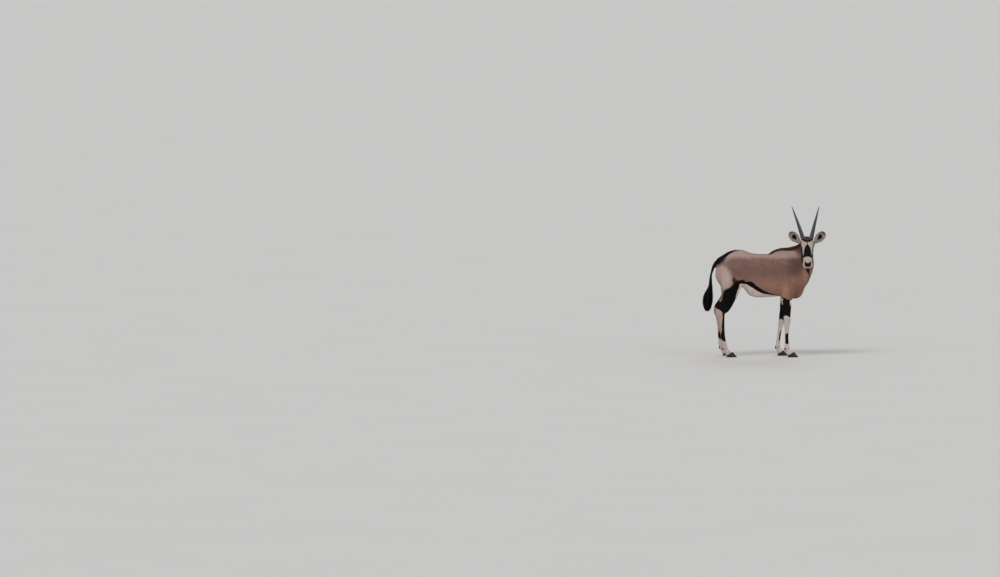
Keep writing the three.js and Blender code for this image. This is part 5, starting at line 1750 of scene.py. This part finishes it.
class Horns:
    """The long straight horns, ringed on their lower part and smooth towards the tips."""

    RINGS = 24
    ROWS, SIDES = 300, 40

    def radius(self, t: Array, turn: Array) -> Array:
        """The radius at share t of the length: R (1 - t)^0.8 + 1.6, with rings like rounded saw teeth."""
        taper = HORN_RADIUS * (1 - t) ** 0.8 + 1.6
        phase = (self.RINGS * (t / RINGED_SHARE) ** 0.94 + 0.1 * np.sin(turn + 9 * t)
                 + 0.05 * np.sin(3 * turn + 21 * t))
        tooth = np.abs(np.sin(math.pi * phase)) ** 0.75
        strength = ease(t, RINGED_SHARE + 0.05, RINGED_SHARE - 0.2) * ease(t, 0, 0.02)
        grain = 0.22 * np.sin(19 * turn + 6 * np.sin(9 * t)) * ease(t, 1, 0.8)
        return taper + strength * (2.9 - 2.6 * t) * (tooth - 0.62) + grain

    def build(self, material: bpy.types.Material) -> None:
        """Writes both horns.

        Args:
            material: Their material.
        """
        t = np.concatenate([[-0.045, -0.02], np.linspace(0, 0.995, self.ROWS)])[:, None]
        turn = np.linspace(0, 2 * math.pi, self.SIDES, endpoint=False)[None]
        for side, name in ((-1, "right"), (1, "left")):
            run = vec(side * math.sin(HORN_SPLAY), math.cos(HORN_SPLAY) * math.cos(HORN_RISE),
                      math.cos(HORN_SPLAY) * math.sin(HORN_RISE))
            across = unit(ASIDE - run * run[0])
            over = np.cross(run, across)
            start = on_head(HORN_PLACE[0], HORN_PLACE[1], side * HORN_PLACE[2])
            inside = np.clip(t, 0, 1)
            radius = self.radius(inside, turn) * np.clip(1 + t * 14, 0.35, 1)
            sag = -HORN_SAG * np.sin(math.pi * inside)
            centre = start + (t * HORN_LENGTH)[..., None] * run + sag[..., None] * over
            outward = np.cos(turn)[..., None] * across + np.sin(turn)[..., None] * over
            rings = centre + radius[..., None] * outward
            taper = HORN_RADIUS * (1 - inside) ** 0.8 + 1.6
            ridge = np.clip(0.5 + (radius - taper) / 2.6, 0, 1) * ease(inside, 0.75, 0.3)
            ridge = ridge + 0.35 * ease(inside, 0.55, 0.9)
            values = {"ridge": np.concatenate([ridge.ravel(), [0, 0.3]])}
            write_mesh(f"horn_sheath_{name}", closed_rings(rings), material, [f"horn_{name}"], values)


class Hooves:
    """Two claws and two dewclaws to a foot, with growth rings, flat where they stand."""

    ROWS, SIDES = 22, 44

    def claw(self, leg: Leg, way: int) -> tuple[Net, Array]:
        """One claw: an outline round its sole, drawn in with height to the slanting coronet.

        Args:
            leg: Its leg.
            way: 1 for the outer claw, -1 for the inner.

        Returns:
            The net and its ridge value.
        """
        out = leg.side * way
        middle = leg.side * leg.stance + out * (CLAW_WIDTH + CLEFT) / 2
        v = np.linspace(0, 1, self.ROWS)[:, None]
        turn = np.linspace(0, 2 * math.pi, self.SIDES, endpoint=False)[None]
        forward = np.cos(turn)
        toe = np.maximum(forward, 0)
        top_x = leg.heel + HOOF_LENGTH * 0.27 * (1 + forward)
        top = 25 + (top_x - leg.heel - 4) * 0.5
        z = v * (top + 1.5)
        rise = z / HOOF_HEIGHT
        foot = np.clip(v * 6, 0, 1) ** 0.5
        length = HOOF_LENGTH * (1 - 0.46 * rise) * mix(0.975, 1, foot)
        half = (CLAW_WIDTH / 2) * (1 - 0.06 * rise) * mix(0.95, 1, foot)
        rings = 0.22 * np.sin(z * 0.75 + 0.8 * forward + 0.5 * np.sin(3 * turn)) * np.sin(math.pi * v) ** 0.5
        half, length = half + rings, length + 2 * rings
        round_side = np.abs(np.sin(turn)) ** 0.8 * np.sign(np.sin(turn))
        x = leg.heel + length / 2 * (1 + forward)
        y = middle + half * round_side * (1 - 0.3 * toe**2) - out * 5 * toe**2
        net = closed_rings(np.stack([x, y, z], -1))
        ridge = np.concatenate([(0.15 + rings * 0.5 + 0.3 * (1 - v)).ravel(), [0.4, 0.2]])
        return net, ridge

    def dewclaw(self, leg: Leg, way: int) -> tuple[Net, Array]:
        """One dewclaw: a blunt cone set in the back of the fetlock."""
        share = np.interp(-DEWCLAW_HEIGHT, -leg.tube.at[:, 2], np.linspace(0, 1, len(leg.tube.at)))
        ring = leg.tube.ring(vec(share))
        out = leg.side * way
        aim = unit(vec(-1, out * 0.55, -0.2))
        at = ring["at"][0] + aim * ring["sizes"][0, 2] * 0.98
        long = unit(vec(-0.5, out * 0.2, -0.84))
        wide = unit(vec(0, 1, 0) - long * long[1])
        deep = np.cross(long, wide)
        v = np.linspace(0.02, 0.98, 14)[:, None]
        turn = np.linspace(0, 2 * math.pi, 20, endpoint=False)[None]
        radius = np.sin(math.pi * v**0.8) ** 0.7
        rings = at + (15 * (2 * v - 1))[..., None] * long + (9 * radius * np.cos(turn))[..., None] * wide \
            + (8 * radius * np.sin(turn))[..., None] * deep
        net = closed_rings(rings)
        return net, np.full(len(net.points), 0.3)

    def build(self, material: bpy.types.Material) -> None:
        """Writes every claw and dewclaw.

        Args:
            material: Their material.
        """
        for leg in LEGS:
            for way, name in ((1, "outer"), (-1, "inner")):
                for kind, shape in (("claw", self.claw), ("dewclaw", self.dewclaw)):
                    net, ridge = shape(leg, way)
                    node = f"{leg.name}_{kind}_{name}"
                    write_mesh(f"hoof_{node}", net, material, [node], {"ridge": ridge})


class Eyes:
    """The eyeballs, with a raised clear front, and the lashes over them."""

    LOOK = vec(0.93, -0.36, 0.02)

    def ball(self, side: int) -> tuple[Net, dict[str, Array]]:
        """One ball: a sphere whose front swells by up to 1.2 mm over the iris."""
        at = eye_middle(side)
        look = unit(self.LOOK * vec(side, 1, 1))
        level = unit(np.cross(vec(0, 0, 1), look))
        upright = np.cross(look, level)
        polar = np.linspace(0.02, math.pi - 0.02, 40)[:, None]
        turn = np.linspace(0, 2 * math.pi, 48, endpoint=False)[None]
        radius = (EYE_RADIUS - 1.0) + 1.1 * np.exp(-((polar / 0.55) ** 4)) + 0 * turn
        local = np.stack([radius * np.sin(polar) * np.cos(turn), radius * np.sin(polar) * np.sin(turn),
                          radius * np.cos(polar)], -1)
        rings = at + local @ np.array([level, upright, look])
        net = closed_rings(rings)
        q = (net.points - at) @ np.array([level, upright, look]).T
        ring = np.where(q[:, 2] > 0, np.hypot(q[:, 0], q[:, 1]), 30)
        pupil = np.hypot(np.maximum(np.abs(q[:, 0]) - 4.2, 0), q[:, 1]) - 3.0 + 30 * (q[:, 2] < 0)
        return net, {"ring": ring, "pupil": pupil}

    def lashes(self, material: bpy.types.Material) -> None:
        """Writes a row of dark lashes on each upper lid.

        Args:
            material: The hair's material.
        """
        random = np.random.default_rng(6)
        lines = []
        for side in BOTH_SIDES:
            count = 70
            turn = np.radians(random.uniform(35, 150, count))
            at = eye_middle(side)
            along = -np.cos(turn)[:, None] * ALONG_FACE * 17
            above = -np.sin(turn)[:, None] * TO_THROAT * 9.5
            root = at + along + above + side * ASIDE * (14.5 + 3 * np.sin(turn))[:, None]
            aim = unit(side * ASIDE + 0.35 * along / 17 + 0.3 * above / 9.5)
            steps = np.linspace(0, 1, 4)
            length = random.uniform(4.5, 7.5, count)[:, None, None]
            lines.append(root[:, None] + length * (steps[None, :, None] * aim[:, None]
                                                   + 0.35 * steps[None, :, None] ** 2 * ALONG_FACE))
        line = np.concatenate(lines)
        out = np.tile(-TO_THROAT, (len(line), 4, 1))
        place = Cell.LASHES.place(np.linspace(0, 1, len(line)), np.full(len(line), 0.5))
        marks = plain_marks(len(line), PALETTE.black)
        hair = lock_hair(line, out, np.full(len(line), 0.55), place, marks, random)
        hair.write("lashes", material, "dark_coat")

    def build(self, material: bpy.types.Material, hair: bpy.types.Material) -> None:
        """Writes both eyes.

        Args:
            material: The balls' material.
            hair: The lashes' material.
        """
        for side, name in ((-1, "right"), (1, "left")):
            net, values = self.ball(side)
            write_mesh(f"eyeball_{name}", net, material, [f"eye_{name}"], values)
        self.lashes(hair)


@dataclass(frozen=True)
class Studio:
    """The pale floor, the soft light and the camera at the photo's place."""

    elevation: float = math.radians(4)
    distance: float = 90.0
    lens: float = 300.0
    animal_column: float = 763.3
    floor_row: float = 356.2

    def floor(self) -> None:
        """A wide pale floor with a faint unevenness."""
        size = 400.0
        mesh = bpy.data.meshes.new("floor")
        corners = [(-size, -size, 0), (size, -size, 0), (size, size, 0), (-size, size, 0)]
        mesh.from_pydata(corners, [], [(0, 1, 2, 3)])
        nodes = Nodes("studio_floor", 0.85, 0.2)
        tint = nodes.noise(nodes.place(), 0.8, 2)
        mesh.materials.append(nodes.colour(nodes.blend(tint, (0.58, 0.57, 0.56, 1), (0.6, 0.59, 0.58, 1))))
        floor = bpy.data.objects.new("floor", mesh)
        bpy.context.scene.collection.objects.link(floor)

    def light(self, name: str, turn: float, height: float, strength: float, soft: float) -> None:
        """A distant soft light.

        Args:
            name: Its name.
            turn: Its direction seen from above, in degrees from +X.
            height: Its height in degrees.
            strength: Its strength.
            soft: How wide it is, in degrees.
        """
        lamp = bpy.data.lights.new(name, "SUN")
        lamp.energy = strength
        lamp.angle = math.radians(soft)
        light = bpy.data.objects.new(name, lamp)
        light.rotation_euler = (0, math.radians(90 - height), math.radians(turn))
        bpy.context.scene.collection.objects.link(light)

    def camera(self) -> None:
        """A long lens far off, aimed so that the animal stands where it does in the photo."""
        middle_row, middle_column = PHOTO_HEIGHT / 2, PHOTO_WIDTH / 2
        right = (middle_column - self.animal_column) * MM_PER_PIXEL + OFFSET[0]
        up = (self.floor_row - middle_row) * MM_PER_PIXEL
        back = vec(0, -math.cos(self.elevation), math.sin(self.elevation))
        above = vec(0, math.sin(self.elevation), math.cos(self.elevation))
        target = (vec(right, 0, 0) + above * up) * MM
        lens = bpy.data.cameras.new("camera")
        lens.lens, lens.sensor_width = self.lens, 36.0
        lens.clip_start, lens.clip_end = 1.0, 1000.0
        camera = bpy.data.objects.new("camera", lens)
        camera.location = target + back * self.distance
        camera.rotation_euler = (math.radians(90) - self.elevation, 0, 0)
        bpy.context.scene.collection.objects.link(camera)
        bpy.context.scene.camera = camera

    def build(self) -> None:
        """Sets the stage."""
        world = bpy.data.worlds.new("soft_room")
        world.use_nodes = True
        sky = world.node_tree.nodes["Background"]
        sky.inputs["Color"].default_value = (0.97, 0.985, 1, 1)
        sky.inputs["Strength"].default_value = 0.5
        bpy.context.scene.world = world
        bpy.context.scene.view_settings.view_transform = "Standard"
        self.floor()
        self.light("key", -125, 48, 1.2, 22)
        self.light("fill", -35, 30, 0.42, 45)
        self.light("back", 80, 40, 0.5, 35)
        self.light("bounce", -80, 5, 0.28, 60)
        self.camera()


def main() -> None:
    """Builds the animal and its stage."""
    logging.basicConfig(level=logging.INFO, format="%(message)s")
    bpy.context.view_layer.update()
    Studio().build()
    hair = Pelt("coat_hair", 0.0, 3.0, 0.1)
    body = Body(Pelt("coat_skin", 0.9), hair, Pattern())
    body.build()
    Mane().build(body.hair_material)
    TailTuft().build(body.hair_material)
    Horns().build(Keratin("horn_sheath", (24, 24, 28), (62, 61, 65), 0.5, (1, 0.25, 0.25)).material())
    Hooves().build(Keratin("hoof_horn", (13, 11, 11), (38, 31, 28), 0.55, (0.4, 1, 0.25)).material())
    Eyes().build(WetEye().material(), body.hair_material)


if __name__ == "__main__":
    main()
